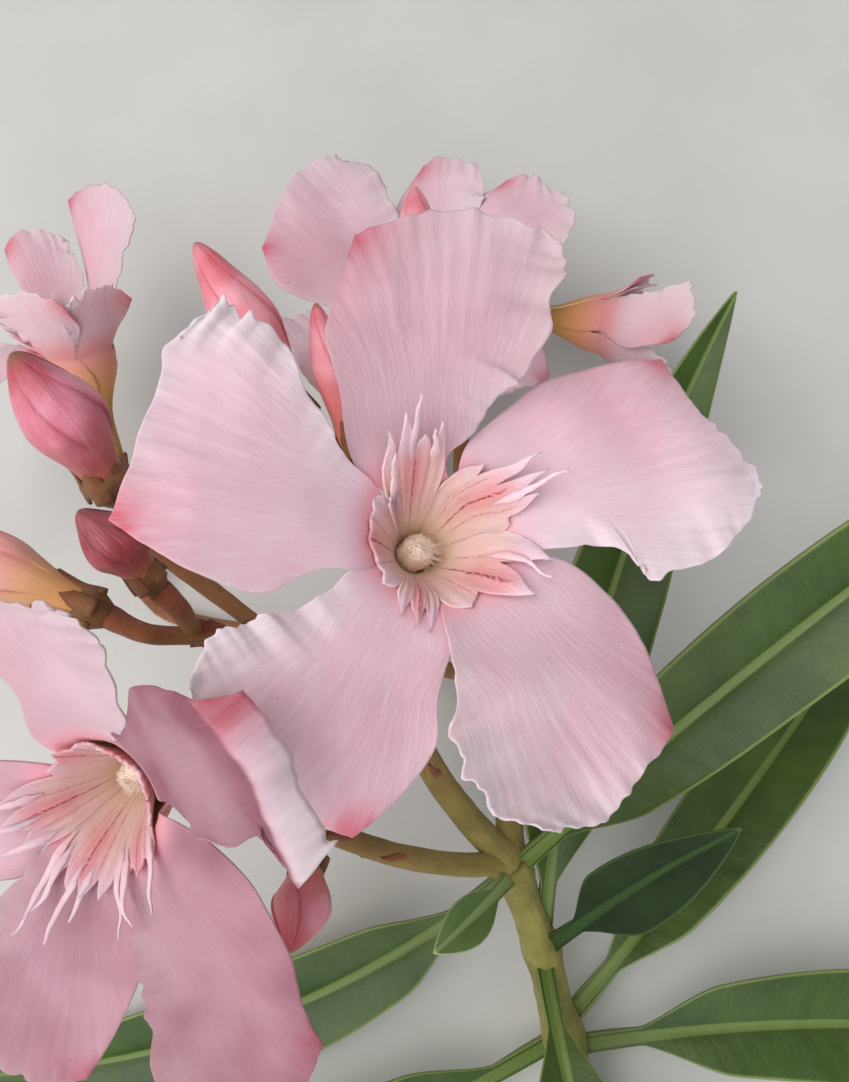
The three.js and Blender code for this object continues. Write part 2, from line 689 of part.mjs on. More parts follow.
// The leaves, in whorls up the stem. Azimuths are the heading of the rib, and rises are above the ground.
const leaves = [
  {
    name: "upper_right", share: 0.98, length: 96, width: 13.5,
    azimuth: 47, sweep: -16, rise: 43, fall: 4, roll: -6,
  },
  {
    name: "upper_left", share: 0.98, length: 88, width: 13,
    azimuth: 220, sweep: -42, rise: -22, fall: 3.48, roll: 8,
  },
  {
    name: "upper_small", share: 0.98, length: 21, width: 9.5,
    azimuth: 214, sweep: 0, rise: 68, fall: 40, roll: 0,
  },
  {
    name: "middle_back", share: 0.82, length: 86, width: 13,
    azimuth: 88, sweep: -26, rise: 27, fall: 20, roll: -10,
  },
  {
    name: "middle_young", share: 0.82, length: 44, width: 9.5,
    azimuth: 48, sweep: 0, rise: 52, fall: 66, roll: 0,
  },
  {
    name: "middle_front", share: 0.82, length: 82, width: 13.5,
    azimuth: 274, sweep: 34, rise: 42, fall: -55.45, roll: 0,
  },
  {
    name: "low_right", share: 0.655, length: 88, width: 14,
    azimuth: 12, sweep: -30, rise: 12, fall: -18.76, roll: 0,
  },
  {
    name: "low_back", share: 0.69, length: 92, width: 13,
    azimuth: 48, sweep: 4, rise: 8, fall: -15.14, roll: 12,
  },
  {
    name: "low_left", share: 0.675, length: 92, width: 14,
    azimuth: 206, sweep: -8, rise: 8, fall: -14.8, roll: 0,
  },
];
for (const leaf of leaves) {
  const thickness = Math.max(LEAF.thickness * (leaf.length / LEAF.fullLength), LEAF.leastThickness);
  const surface = leafSurface(stem.at(leaf.share), leaf);
  const blade = sheetSolid(surface, LEAF.across, LEAF.along, thickness);
  place(`leaf_${leaf.name}`, trimmed(blade, grown), COLOURS.leaf);
}

export default shoot;
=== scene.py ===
"""The looks of a flowering oleander shoot, cut from the bush and laid down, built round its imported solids.

Lengths are millimetres in the shoot's own frame until a mesh is finished. LAID_AT then moves the mesh to
where the shoot lies, and MM turns it into metres.
"""

import json
import logging
import math
import random
from collections.abc import Callable, Sequence
from dataclasses import dataclass, field
from enum import Enum

import bmesh
import bpy
from mathutils import Matrix, Vector, noise

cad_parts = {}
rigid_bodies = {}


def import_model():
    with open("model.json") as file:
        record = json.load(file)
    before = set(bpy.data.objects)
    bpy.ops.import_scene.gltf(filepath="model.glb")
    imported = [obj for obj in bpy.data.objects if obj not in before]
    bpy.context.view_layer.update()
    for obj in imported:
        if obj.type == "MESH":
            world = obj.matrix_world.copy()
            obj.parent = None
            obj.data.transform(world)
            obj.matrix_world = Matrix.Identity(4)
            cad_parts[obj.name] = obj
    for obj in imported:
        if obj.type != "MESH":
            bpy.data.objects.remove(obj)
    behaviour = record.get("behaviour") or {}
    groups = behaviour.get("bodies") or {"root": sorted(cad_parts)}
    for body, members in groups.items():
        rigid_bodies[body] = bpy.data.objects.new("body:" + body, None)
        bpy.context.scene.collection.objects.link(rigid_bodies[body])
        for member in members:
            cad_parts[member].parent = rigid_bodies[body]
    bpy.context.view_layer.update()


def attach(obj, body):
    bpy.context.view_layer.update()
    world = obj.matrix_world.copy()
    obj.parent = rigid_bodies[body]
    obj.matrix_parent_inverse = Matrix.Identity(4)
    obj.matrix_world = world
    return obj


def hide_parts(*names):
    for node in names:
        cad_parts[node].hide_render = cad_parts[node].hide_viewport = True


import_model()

LOG = logging.getLogger("oleander")
MM = 0.001
LAID_AT = Vector((-17.83, 1.87, 0.005))
UP = Vector((0.0, 0.0, 1.0))
CHART = "Chart"

Point = tuple[float, float, float]
Flat = tuple[float, float]
Colour = tuple[float, float, float]
Socket = bpy.types.NodeSocket


class Slot(Enum):
    """The material slots of the record."""

    STEM = "stem"
    STALK = "stalk"
    PETAL = "petal"
    BUD = "bud"
    LEAF = "leaf"


def lerp(a: float, b: float, share: float) -> float:
    """The value at a share of the way from a to b."""
    return a + (b - a) * share


def smoothstep(x: float, low: float, high: float) -> float:
    """Eases from 0 at low to 1 at high."""
    t = min(max((x - low) / (high - low), 0.0), 1.0)
    return t * t * (3 - 2 * t)


def ripple(x: float, y: float = 0.0, z: float = 0.0) -> float:
    """A smooth wave without a period, roughly from -1 to 1."""
    return 1.8 * noise.noise(Vector((x, y, z)))


def srgb(red: float, green: float, blue: float) -> Colour:
    """A colour of 0 to 255 parts as Blender's linear one.

    Args:
        red: The red part.
        green: The green part.
        blue: The blue part.

    Returns:
        The colour.
    """
    def linear(part: float) -> float:
        """One part as a linear share."""
        share = part / 255
        return share / 12.92 if share <= 0.04045 else ((share + 0.055) / 1.055) ** 2.4

    return linear(red), linear(green), linear(blue)


def ramp_stops(*rows: tuple[float, float, float, float]) -> tuple[tuple[float, Colour], ...]:
    """Stops of a ramp, from rows of a place from 0 to 1 and a colour's three parts."""
    return tuple((place, srgb(*parts)) for place, *parts in rows)


def polar(radius: float, angle: float, height: float) -> Vector:
    """A place round the vertical axis."""
    return Vector((radius * math.cos(angle), radius * math.sin(angle), height))


def heading(azimuth: float, elevation: float) -> Vector:
    """The unit vector of a heading in the ground plane and a rise above it, both in degrees."""
    a, e = math.radians(azimuth), math.radians(elevation)
    return Vector((math.cos(e) * math.cos(a), math.cos(e) * math.sin(a), math.sin(e)))


def between(a: Vector, b: Vector, start: Vector, end: Vector, t: float) -> Vector:
    """A place on the curve from a to b that leaves along start and arrives along end.

    Args:
        a: The curve's first point.
        b: Its last point.
        start: Its slope at a.
        end: Its slope at b.
        t: The share of the way.

    Returns:
        The place.
    """
    cubic = (a - b) * 2 + start + end
    square = (b - a) * 3 - start * 2 - end
    return ((cubic * t + square) * t + start) * t + a


@dataclass(frozen=True)
class Outline:
    """A smooth line through flat points: a uniform Catmull-Rom spline.

    Args:
        points: The points, in order.
    """

    points: tuple[Flat, ...]

    def at(self, share: float) -> Vector:
        """The line's point at a share of its spans.

        Args:
            share: The share of the spans.

        Returns:
            The point.
        """
        last = len(self.points) - 1
        place = min(max(share, 0.0), 1.0) * last
        i = min(int(place), last - 1)
        t = place - i
        p0, p1, p2, p3 = (Vector(self.points[min(max(j, 0), last)]) for j in range(i - 1, i + 3))
        return between(p1, p2, (p2 - p0) * 0.5, (p3 - p1) * 0.5, t)


class Route:
    """A smooth curve through points in space: a centripetal Catmull-Rom spline, walked by its length.

    Args:
        points: The points, in order.
        fineness: How many chords each span is measured with.
    """

    def __init__(self, points: Sequence[Point | Vector], fineness: int = 24) -> None:
        """Measures the curve."""
        given = [Vector(p) for p in points]
        ends = [given[0] * 2 - given[1], *given, given[-1] * 2 - given[-2]]
        self.line = [given[0]]
        for i in range(len(given) - 1):
            self.line += [self._span(ends[i:i + 4], (j + 1) / fineness) for j in range(fineness)]
        self.reach = [0.0]
        for a, b in zip(self.line, self.line[1:]):
            self.reach.append(self.reach[-1] + (b - a).length)
        self.length = self.reach[-1]

    @staticmethod
    def _span(points: Sequence[Vector], t: float) -> Vector:
        """A point of the span between the middle two of four points.

        Args:
            points: The four points, in order.
            t: The share of the way between the middle two.

        Returns:
            The point.
        """
        p0, p1, p2, p3 = points
        d0, d1, d2 = (max(math.sqrt((b - a).length), 1e-4) for a, b in zip(points, points[1:]))
        start = ((p1 - p0) / d0 - (p2 - p0) / (d0 + d1) + (p2 - p1) / d1) * d1
        end = ((p2 - p1) / d1 - (p3 - p1) / (d1 + d2) + (p3 - p2) / d2) * d1
        return between(p1, p2, start, end, t)

    def at(self, share: float) -> Vector:
        """The curve's point at a share of its length.

        Args:
            share: The share of the length.

        Returns:
            The point.
        """
        wanted = min(max(share, 0.0), 1.0) * self.length
        low, high = 0, len(self.reach) - 1
        while high - low > 1:
            middle = (low + high) // 2
            low, high = (middle, high) if self.reach[middle] <= wanted else (low, middle)
        gap = self.reach[high] - self.reach[low]
        return self.line[low].lerp(self.line[high], (wanted - self.reach[low]) / max(gap, 1e-9))

    def way(self, share: float) -> Vector:
        """The curve's direction at a share of its length."""
        step = 0.01
        return (self.at(share + step) - self.at(share - step)).normalized()

    def frames(self, rings: int) -> list[tuple[Vector, Vector, Vector]]:
        """Evenly spaced points of the curve with two directions across it that don't spin.

        Args:
            rings: How many points to give, both ends included.

        Returns:
            For each point its place and the two directions.
        """
        side = self.way(0).cross(UP)
        side = side.normalized() if side.length > 1e-3 else Vector((1.0, 0.0, 0.0))
        found = []
        for i in range(rings):
            share = i / (rings - 1)
            way = self.way(share)
            side = (side - way * side.dot(way)).normalized()
            found.append((self.at(share), side, way.cross(side)))
        return found


@dataclass
class Spot:
    """One vertex of a sheet or a skin.

    Args:
        place: Where it lies, in millimetres.
        chart: Its place on the piece's own map, in centimetres.
        thickness: Its share of the sheet's full thickness.
        paint: The named values that the finish reads there.
    """

    place: Vector
    chart: Flat = (0.0, 0.0)
    thickness: float = 1.0
    paint: dict[str, float] = field(default_factory=dict)


Surface = Callable[[float, float], Spot]


@dataclass(frozen=True)
class Shell:
    """The wall that a sheet gets below its face.

    Args:
        thickness: The full thickness, in millimetres.
        thinnest: The share of it where a spot asks for none.
        two_faced: Whether the underside has the piece's second finish.
    """

    thickness: float
    thinnest: float = 0.4
    two_faced: bool = False

    def dress(self, piece: bpy.types.Object) -> None:
        """Gives a piece its wall.

        Args:
            piece: The sheet that gets it.
        """
        wall = piece.modifiers.new("wall", "SOLIDIFY")
        wall.thickness = self.thickness * MM
        wall.offset = -1.0
        wall.vertex_group = "thickness"
        wall.thickness_vertex_group = self.thinnest
        wall.material_offset = 1 if self.two_faced else 0


class Work:
    """A mesh in the making, in millimetres, with values painted on its vertices.

    Args:
        paints: The names of the painted values.
    """

    def __init__(self, *paints: str) -> None:
        """Starts with an empty mesh."""
        self.mesh = bmesh.new()
        self.paints = {name: self.mesh.verts.layers.float.new(name) for name in paints}
        self.weights = self.mesh.verts.layers.deform.verify()
        self.chart = self.mesh.loops.layers.uv.new(CHART)

    def add_sheet(self, across: int, along: int, surface: Surface) -> list[bmesh.types.BMVert]:
        """Adds a grid moved onto a surface.

        Args:
            across: Faces across the sheet.
            along: Faces along it.
            surface: The spot at a share across and a share along.

        Returns:
            The new vertices.
        """
        verts = bmesh.ops.create_grid(self.mesh, x_segments=across, y_segments=along, size=0.5)["verts"]
        charts = {}
        for vert in verts:
            spot = surface(vert.co.x + 0.5, vert.co.y + 0.5)
            vert.co = spot.place
            vert[self.weights][0] = spot.thickness
            charts[vert] = spot.chart
            for name, value in spot.paint.items():
                vert[self.paints[name]] = value
        for face in {face for vert in verts for face in vert.link_faces}:
            for loop in face.loops:
                loop[self.chart].uv = charts[loop.vert]
        return verts

    def add_skin(self, around: int, along: int, surface: Surface) -> None:
        """Adds a closed skin: a grid rolled up until its sides meet, whose two ends draw in to a point.

        Args:
            around: Faces round the skin.
            along: Faces along it.
            surface: The spot at a share round and a share along.
        """
        verts = self.add_sheet(around, along, surface)
        bmesh.ops.remove_doubles(self.mesh, verts=verts, dist=1e-4)

    def fill(self, paint: str, value: float) -> None:
        """Paints one value on all that is made so far."""
        for vert in self.mesh.verts:
            vert[self.paints[paint]] = value

    def turn(self, matrix: Matrix) -> None:
        """Moves all that is made so far."""
        bmesh.ops.transform(self.mesh, matrix=matrix, verts=self.mesh.verts)

    def finish(
        self,
        name: str,
        materials: Sequence[bpy.types.Material],
        slot: Slot,
        nodes: Sequence[str],
        shell: Shell | None = None,
    ) -> bpy.types.Object:
        """Makes the piece and puts it in the place of some solids.

        Args:
            name: The piece's name.
            materials: Its finish, and the underside's finish where there is one.
            slot: The record's slot for the piece's finish; not used.
            nodes: The solids that it stands for.
            shell: The wall of a sheet.

        Returns:
            The piece.
        """
        self.turn(Matrix.Scale(MM, 4) @ Matrix.Translation(LAID_AT))
        data = bpy.data.meshes.new(name)
        self.mesh.to_mesh(data)
        self.mesh.free()
        data.shade_smooth()
        for material in materials:
            data.materials.append(material)
        piece = bpy.data.objects.new(name, data)
        bpy.context.scene.collection.objects.link(piece)
        piece.vertex_groups.new(name="thickness")
        if shell:
            shell.dress(piece)
        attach(piece, "root")
        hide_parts(*nodes)
        LOG.info("%s: %d faces, for %s", name, len(data.polygons), ", ".join(nodes))
        return piece


class Nodes:
    """The node tree of a material in the making.

    Args:
        name: The material's name.
        roughness: How matt its surface is.
        settings: Other sockets of its shader, each the same all over.
    """

    def __init__(self, name: str, roughness: float, **settings: float) -> None:
        """Starts with the plain shader."""
        self.material = bpy.data.materials.new(name)
        self.material.use_nodes = True
        self.tree = self.material.node_tree
        self.shader = self.tree.nodes["Principled BSDF"]
        self.shader.inputs["Roughness"].default_value = roughness
        for socket, value in settings.items():
            self.shader.inputs[socket.replace("_", " ")].default_value = value

    def scatter(self, radius: Point, depth: float) -> None:
        """Sets how far light goes below the surface: each colour's share, and the depth in millimetres."""
        self.shader.inputs["Subsurface Radius"].default_value = radius
        self.shader.inputs["Subsurface Scale"].default_value = depth * MM

    def feed(self, socket: Socket, value: object) -> None:
        """Links a socket to another one, or sets it to a number or colour.

        Args:
            socket: The input.
            value: What it gets.
        """
        if isinstance(value, Socket):
            self.tree.links.new(value, socket)
        elif isinstance(value, tuple) and socket.type == "RGBA":
            socket.default_value = (*value, 1.0)
        else:
            socket.default_value = value

    def add(
        self, kind: str, output: str | int, inputs: dict[str | int, object], **settings: object,
    ) -> Socket:
        """Adds a node.

        Args:
            kind: The node's type.
            output: The output that is wanted.
            inputs: What its inputs get.
            settings: What is set on it.

        Returns:
            The output.
        """
        node = self.tree.nodes.new(kind)
        for key, value in settings.items():
            setattr(node, key, value)
        for key, value in inputs.items():
            self.feed(node.inputs[key], value)
        return node.outputs[output]

    def paint(self, name: str) -> Socket:
        """The value painted on the piece under a name."""
        return self.add("ShaderNodeAttribute", "Fac", {}, attribute_name=name)

    def chart(self, scale: Point = (1.0, 1.0, 1.0)) -> Socket:
        """The piece's own map, stretched."""
        return self.stretched(self.add("ShaderNodeUVMap", "UV", {}, uv_map=CHART), scale)

    def place(self) -> Socket:
        """The place on the piece in metres."""
        return self.add("ShaderNodeTexCoord", "Object", {})

    def stretched(self, source: Socket, scale: Point) -> Socket:
        """Coordinates multiplied along each axis."""
        return self.add("ShaderNodeMapping", "Vector", {"Vector": source, "Scale": scale})

    def noise(self, source: Socket, scale: float, detail: float = 2.0, roughness: float = 0.5) -> Socket:
        """Noise at some coordinates, from 0 to 1."""
        inputs = {"Vector": source, "Scale": scale, "Detail": detail, "Roughness": roughness}
        return self.add("ShaderNodeTexNoise", "Fac", inputs)

    def spots(self, source: Socket, scale: float) -> Socket:
        """The distance to the nearest of many scattered points."""
        return self.add("ShaderNodeTexVoronoi", "Distance", {"Vector": source, "Scale": scale})

    def part(self, source: Socket, axis: str) -> Socket:
        """One of X, Y and Z of some coordinates."""
        return self.add("ShaderNodeSeparateXYZ", axis, {"Vector": source})

    def sum(self, operation: str, a: object, b: object = 0.0) -> Socket:
        """An operation of the Math node on one or two values."""
        return self.add("ShaderNodeMath", "Value", {0: a, 1: b}, operation=operation)

    def times(self, a: object, b: object) -> Socket:
        """The product of two values."""
        return self.sum("MULTIPLY", a, b)

    def plus(self, a: object, b: object) -> Socket:
        """Two values added up."""
        return self.sum("ADD", a, b)

    def band(self, value: object, low: float, high: float, bottom: float = 0.0, top: float = 1.0) -> Socket:
        """Eases from bottom at low to top at high, and stays there beyond."""
        inputs = {"Value": value, "From Min": low, "From Max": high, "To Min": bottom, "To Max": top}
        return self.add("ShaderNodeMapRange", "Result", inputs, interpolation_type="SMOOTHSTEP")

    def mix(self, share: object, a: object, b: object, way: str = "MIX") -> Socket:
        """Two colours mixed by a share."""
        return self.add("ShaderNodeMix", 2, {"Factor": share, 6: a, 7: b}, data_type="RGBA", blend_type=way)

    def ramp(self, value: object, *stops: tuple[float, Colour]) -> Socket:
        """A colour for a value, eased between stops.

        Args:
            value: The value that is read.
            stops: Values from 0 to 1 with their colours.

        Returns:
            The colour.
        """
        node = self.tree.nodes.new("ShaderNodeValToRGB")
        self.feed(node.inputs["Fac"], value)
        colours = node.color_ramp.elements
        while len(colours) < len(stops):
            colours.new(1.0)
        for element, (position, colour) in zip(colours, stops):
            element.position = position
            element.color = (*colour, 1.0)
        return node.outputs["Color"]

    def done(self, colour: Socket, height: Socket, depth: float) -> bpy.types.Material:
        """Ends the tree.

        Args:
            colour: The surface's colour.
            height: Its relief, from 0 to 1.
            depth: How deep the relief is, in millimetres.

        Returns:
            The material.
        """
        relief = self.add("ShaderNodeBump", "Normal", {"Height": height, "Distance": depth * MM})
        self.feed(self.shader.inputs["Base Color"], colour)
        self.feed(self.shader.inputs["Normal"], relief)
        return self.material


@dataclass(frozen=True)
class Finish:
    """A finish of the shoot.

    Args:
        name: The material's name.
    """

    name: str


@dataclass(frozen=True)
class PetalFinish(Finish):
    """The satin skin of a lobe: soft patches, faint rays, pale margins, a corner blush and painted shade.

    Args:
        shade: The colour in the broad dull patches.
        light: The colour in the broad bright patches.
        rose: The deeper pink of the plain side.
        painted_shade: The dull pink of painted shade, for a lobe that lies in shade.
        ray: The colour of the fine rays.
        margin: The colour of the ruffled margins.
        blush: The colour at the pointed corner.
        depths: The colours from the throat's rim down to the foot of the tube.
    """

    shade: Colour
    light: Colour
    rose: Colour
    painted_shade: Colour
    ray: Colour
    margin: Colour
    blush: Colour
    depths: tuple[tuple[float, Colour], ...]

    def make(self) -> bpy.types.Material:
        """Builds the material.

        Returns:
            The material.
        """
        nodes = Nodes(
            self.name,
            0.6,
            Specular_IOR_Level=0.3,
            Sheen_Weight=0.1,
            Sheen_Roughness=0.5,
            Subsurface_Weight=0.3,
        )
        nodes.scatter((1.0, 0.55, 0.5), 1.1)
        place = nodes.place()
        broad = nodes.noise(place, 70, 3, 0.55)
        rays = nodes.noise(nodes.chart((9.0, 0.55, 1.0)), 6, 5, 0.62)
        threads = nodes.noise(nodes.chart((26.0, 0.8, 1.0)), 6, 3, 0.6)
        pale = nodes.paint("pale")
        body = nodes.ramp(broad, (0.34, self.shade), (0.66, self.light))
        rose = nodes.times(nodes.paint("rose"), nodes.band(nodes.noise(place, 110, 2), 0.3, 0.7, 0.45, 1.0))
        body = nodes.mix(rose, body, self.rose)
        outer = nodes.plus(nodes.times(pale, 0.5), 0.22)
        body = nodes.mix(nodes.times(nodes.band(rays, 0.42, 0.72), outer), body, self.ray)
        body = nodes.mix(nodes.times(pale, 0.7), body, self.margin)
        blush = nodes.times(nodes.paint("blush"), nodes.band(rays, 0.2, 0.7, 1.0, 0.72))
        body = nodes.mix(blush, body, self.blush)
        # Painted shade: a lobe in shade is mixed unevenly towards a dull pink.
        painted_shade = nodes.times(nodes.paint("painted_shade"), nodes.band(nodes.noise(place, 90, 2), 0.3, 0.7, 0.72, 1.08))
        body = nodes.mix(painted_shade, body, self.painted_shade)
        throat = nodes.paint("throat")
        body = nodes.mix(nodes.band(throat, 0.0, 0.3), body, nodes.ramp(throat, *self.depths))
        specks = nodes.spots(place, 420)
        rare = nodes.band(nodes.noise(place, 300, 1), 0.62, 0.66)
        speck = nodes.times(nodes.band(specks, 0.05, 0.08, 0.5, 0.0), rare)
        body = nodes.mix(speck, body, srgb(150, 85, 85))
        grain = nodes.noise(place, 5200, 2)
        height = nodes.plus(nodes.times(rays, 0.6), nodes.times(threads, 0.3))
        height = nodes.plus(height, nodes.times(grain, 0.12))
        return nodes.done(body, height, 0.12)


@dataclass(frozen=True)
class FringeFinish(Finish):
    """A scale of the throat's fringe: peach at its root, pink at its teeth, dark red lines up its middle.

    Args:
        body: The colours from the root to the tips.
        flush: The stronger pink along the lines.
        painted_shade: The dull pink of painted shade, for a fringe that lies in shade.
        line: The colour of the lines.
    """

    body: tuple[tuple[float, Colour], ...]
    flush: Colour
    painted_shade: Colour
    line: Colour

    def make(self) -> bpy.types.Material:
        """Builds the material.

        Returns:
            The material.
        """
        nodes = Nodes(self.name, 0.55, Specular_IOR_Level=0.3, Sheen_Weight=0.1, Subsurface_Weight=0.4)
        nodes.scatter((1.0, 0.65, 0.5), 1.2)
        across, along = nodes.part(nodes.chart(), "X"), nodes.part(nodes.chart(), "Y")
        rays = nodes.noise(nodes.chart((22.0, 1.4, 1.0)), 6, 4, 0.6)
        body = nodes.ramp(nodes.paint("tooth"), *self.body)
        body = nodes.mix(nodes.band(rays, 0.4, 0.75, 0.0, 0.3), body, srgb(248, 226, 226))
        wander = nodes.sum("SUBTRACT", nodes.noise(nodes.chart((1.0, 5.0, 1.0)), 3, 2), 0.5)
        across = nodes.plus(across, nodes.times(wander, 0.03))
        broken = nodes.band(nodes.noise(nodes.chart((1.0, 0.35, 1.0)), 60, 3, 0.7), 0.38, 0.54)
        middle = nodes.band(nodes.sum("ABSOLUTE", across), 0.004, 0.017, 1.0, 0.0)
        flush = nodes.band(nodes.sum("ABSOLUTE", across), 0.02, 0.2, 0.6, 0.0)
        flush = nodes.times(flush, nodes.band(along, -0.25, 0.1))
        flush = nodes.times(flush, nodes.band(along, 0.3, 0.6, 1.0, 0.0))
        body = nodes.mix(flush, body, self.flush)
        # Painted shade: the fringe of a bloom in shade is mixed towards a dull pink.
        body = nodes.mix(nodes.paint("painted_shade"), body, self.painted_shade)
        sides = nodes.sum("ABSOLUTE", nodes.sum("SUBTRACT", nodes.sum("ABSOLUTE", across), 0.13))
        sides = nodes.band(sides, 0.002, 0.012, 0.5, 0.0)
        lines = nodes.sum("MAXIMUM", middle, sides)
        reach = nodes.times(nodes.band(along, -0.5, -0.1), nodes.band(along, 0.22, 0.48, 1.0, 0.0))
        lines = nodes.times(nodes.times(lines, reach), broken)
        body = nodes.mix(lines, body, self.line)
        height = nodes.plus(rays, nodes.times(nodes.noise(nodes.place(), 4200, 2), 0.15))
        return nodes.done(body, height, 0.16)


@dataclass(frozen=True)
class DownFinish(Finish):
    """Pale down on the cone of anthers.

    Args:
        deep: The colour between the hairs.
        tips: The colour of their tips.
    """

    deep: Colour
    tips: Colour

    def make(self) -> bpy.types.Material:
        """Builds the material.

        Returns:
            The material.
        """
        nodes = Nodes(self.name, 0.7, Specular_IOR_Level=0.25, Sheen_Weight=0.3)
        fuzz = nodes.noise(nodes.place(), 3800, 4, 0.7)
        body = nodes.ramp(nodes.paint("tip"), (0.0, self.deep), (0.7, self.tips))
        body = nodes.mix(nodes.band(fuzz, 0.4, 0.7, 0.0, 0.6), body, self.tips)
        return nodes.done(body, fuzz, 0.12)


@dataclass(frozen=True)
class BudFinish(Finish):
    """A furled bud's satin skin, with a painted highlight and painted shade where one pleat runs under the
    next.

    Args:
        rise: The colours from the foot to the tip.
        painted_highlight: The colour of the painted highlight on the bud's flanks.
        pleat_shade: The colour of the painted shade along the seams where pleats overlap.
    """

    rise: tuple[tuple[float, Colour], ...]
    painted_highlight: Colour
    pleat_shade: Colour

    def make(self) -> bpy.types.Material:
        """Builds the material.

        Returns:
            The material.
        """
        nodes = Nodes(self.name, 0.42, Specular_IOR_Level=0.45, Sheen_Weight=0.08, Subsurface_Weight=0.1)
        nodes.scatter((1.0, 0.3, 0.25), 0.5)
        rise = nodes.paint("rise")
        rays = nodes.noise(nodes.chart((16.0, 0.9, 1.0)), 5, 4, 0.62)
        patch = nodes.noise(nodes.place(), 210, 2)
        body = nodes.ramp(rise, *self.rise)
        # Painted highlight: noisy patches round the bud's middle are mixed towards a lighter colour.
        painted_highlight = nodes.times(nodes.band(patch, 0.42, 0.68), nodes.band(rise, 0.38, 0.6))
        body = nodes.mix(nodes.times(painted_highlight, 0.7), body, self.painted_highlight)
        body = nodes.mix(nodes.band(rays, 0.45, 0.75, 0.0, 0.22), body, srgb(250, 205, 205))
        # Painted shade along the seams where one pleat tucks under the next, kept off the bud's foot.
        pleat_shade = nodes.times(nodes.paint("pleat_shade"), nodes.band(rise, 0.3, 0.45))
        body = nodes.mix(nodes.times(pleat_shade, 0.85), body, self.pleat_shade)
        height = nodes.plus(rays, nodes.times(nodes.noise(nodes.place(), 3600, 2), 0.2))
        return nodes.done(body, height, 0.12)


@dataclass(frozen=True)
class BarkFinish(Finish):
    """The green or reddish skin of stem, stalks and sepals: long fibres, pale lenticels, a little down.

    Args:
        low: The colours at the foot, dull and bright.
        high: The colours at the end, dull and bright.
        speck: The colour of the lenticels.
        cut: The colour of a cut face.
    """

    low: tuple[Colour, Colour]
    high: tuple[Colour, Colour]
    speck: Colour
    cut: Colour = (0.6, 0.62, 0.3)

    def make(self) -> bpy.types.Material:
        """Builds the material.

        Returns:
            The material.
        """
        nodes = Nodes(self.name, 0.55, Specular_IOR_Level=0.35, Sheen_Weight=0.1)
        fibres = nodes.noise(nodes.chart((14.0, 1.6, 1.0)), 5, 5, 0.65)
        patch = nodes.noise(nodes.place(), 260, 4, 0.6)
        low = nodes.ramp(patch, (0.35, self.low[0]), (0.68, self.low[1]))
        high = nodes.ramp(patch, (0.35, self.high[0]), (0.68, self.high[1]))
        body = nodes.mix(nodes.paint("rise"), low, high)
        body = nodes.mix(nodes.band(fibres, 0.3, 0.5, 0.4, 0.0), body, self.low[0], "MULTIPLY")
        dots = nodes.band(nodes.spots(nodes.chart((3.4, 1.5, 1.0)), 7), 0.1, 0.2, 1.0, 0.0)
        body = nodes.mix(nodes.times(dots, 0.55), body, self.speck)
        rings = nodes.noise(nodes.stretched(nodes.place(), (1.0, 0.2, 1.0)), 1500, 3)
        face = nodes.ramp(rings, (0.3, self.cut), (0.7, srgb(214, 216, 170)))
        body = nodes.mix(nodes.paint("cut"), body, face)
        height = nodes.plus(fibres, nodes.times(dots, 0.6))
        height = nodes.plus(height, nodes.times(nodes.noise(nodes.place(), 4200, 2), 0.3))
        return nodes.done(body, height, 0.2)


@dataclass(frozen=True)
class LeafFinish(Finish):
    """One face of a leaf: a pale rib, close side veins, a thin pale margin.

    Args:
        dull: The blade's darker green.
        fresh: The blade's lighter green.
        rib: The colour of the rib.
        margin: The colour of the margin.
        roughness: How matt the blade is.
        veins: How strong the side veins show.
    """

    dull: Colour
    fresh: Colour
    rib: Colour
    margin: Colour
    roughness: float = 0.42
    veins: float = 0.045

    def make(self) -> bpy.types.Material:
        """Builds the material.

        Returns:
            The material.
        """
        nodes = Nodes(self.name, self.roughness, Specular_IOR_Level=0.4, Subsurface_Weight=0.05)
        nodes.scatter((0.5, 1.0, 0.2), 0.4)
        across = nodes.sum("ABSOLUTE", nodes.part(nodes.chart(), "X"))
        along = nodes.part(nodes.chart(), "Y")
        patch = nodes.noise(nodes.place(), 120, 4, 0.6)
        body = nodes.ramp(patch, (0.35, self.dull), (0.66, self.fresh))
        wander = nodes.times(nodes.noise(nodes.chart(), 9, 2), 0.05)
        slant = nodes.plus(nodes.sum("SUBTRACT", along, nodes.times(across, 0.32)), wander)
        wave = nodes.sum("FRACT", nodes.times(slant, 9.5))
        veins = nodes.band(nodes.sum("ABSOLUTE", nodes.sum("SUBTRACT", wave, 0.5)), 0.03, 0.2, 1.0, 0.0)
        body = nodes.mix(nodes.times(veins, self.veins), body, self.rib)
        mesh = nodes.noise(nodes.place(), 2600, 3, 0.6)
        body = nodes.mix(nodes.band(mesh, 0.35, 0.7, 0.25, 0.0), body, self.dull)
        rib = nodes.band(nodes.sum("SUBTRACT", across, nodes.paint("rib")), -0.012, 0.012, 1.0, 0.0)
        body = nodes.mix(nodes.times(rib, 0.9), body, self.rib)
        body = nodes.mix(nodes.band(nodes.paint("edge"), 0.93, 0.985, 0.0, 0.8), body, self.margin)
        height = nodes.plus(nodes.times(veins, -0.07), nodes.times(mesh, 0.35))
        return nodes.done(body, height, 0.12)


class Tone(Enum):
    """The kinds of leaf that the shoot bears."""

    GROWN = "grown"
    # A small new leaf whose darker green is partly its own and partly painted shade for where it lies.
    YOUNG = "young"
    TENDER = "tender"


class Ripeness(Enum):
    """How far on a bud is, by its looks."""

    DARK = "dark"
    CORAL = "coral"
    SWOLLEN = "swollen"
    OPENING = "opening"
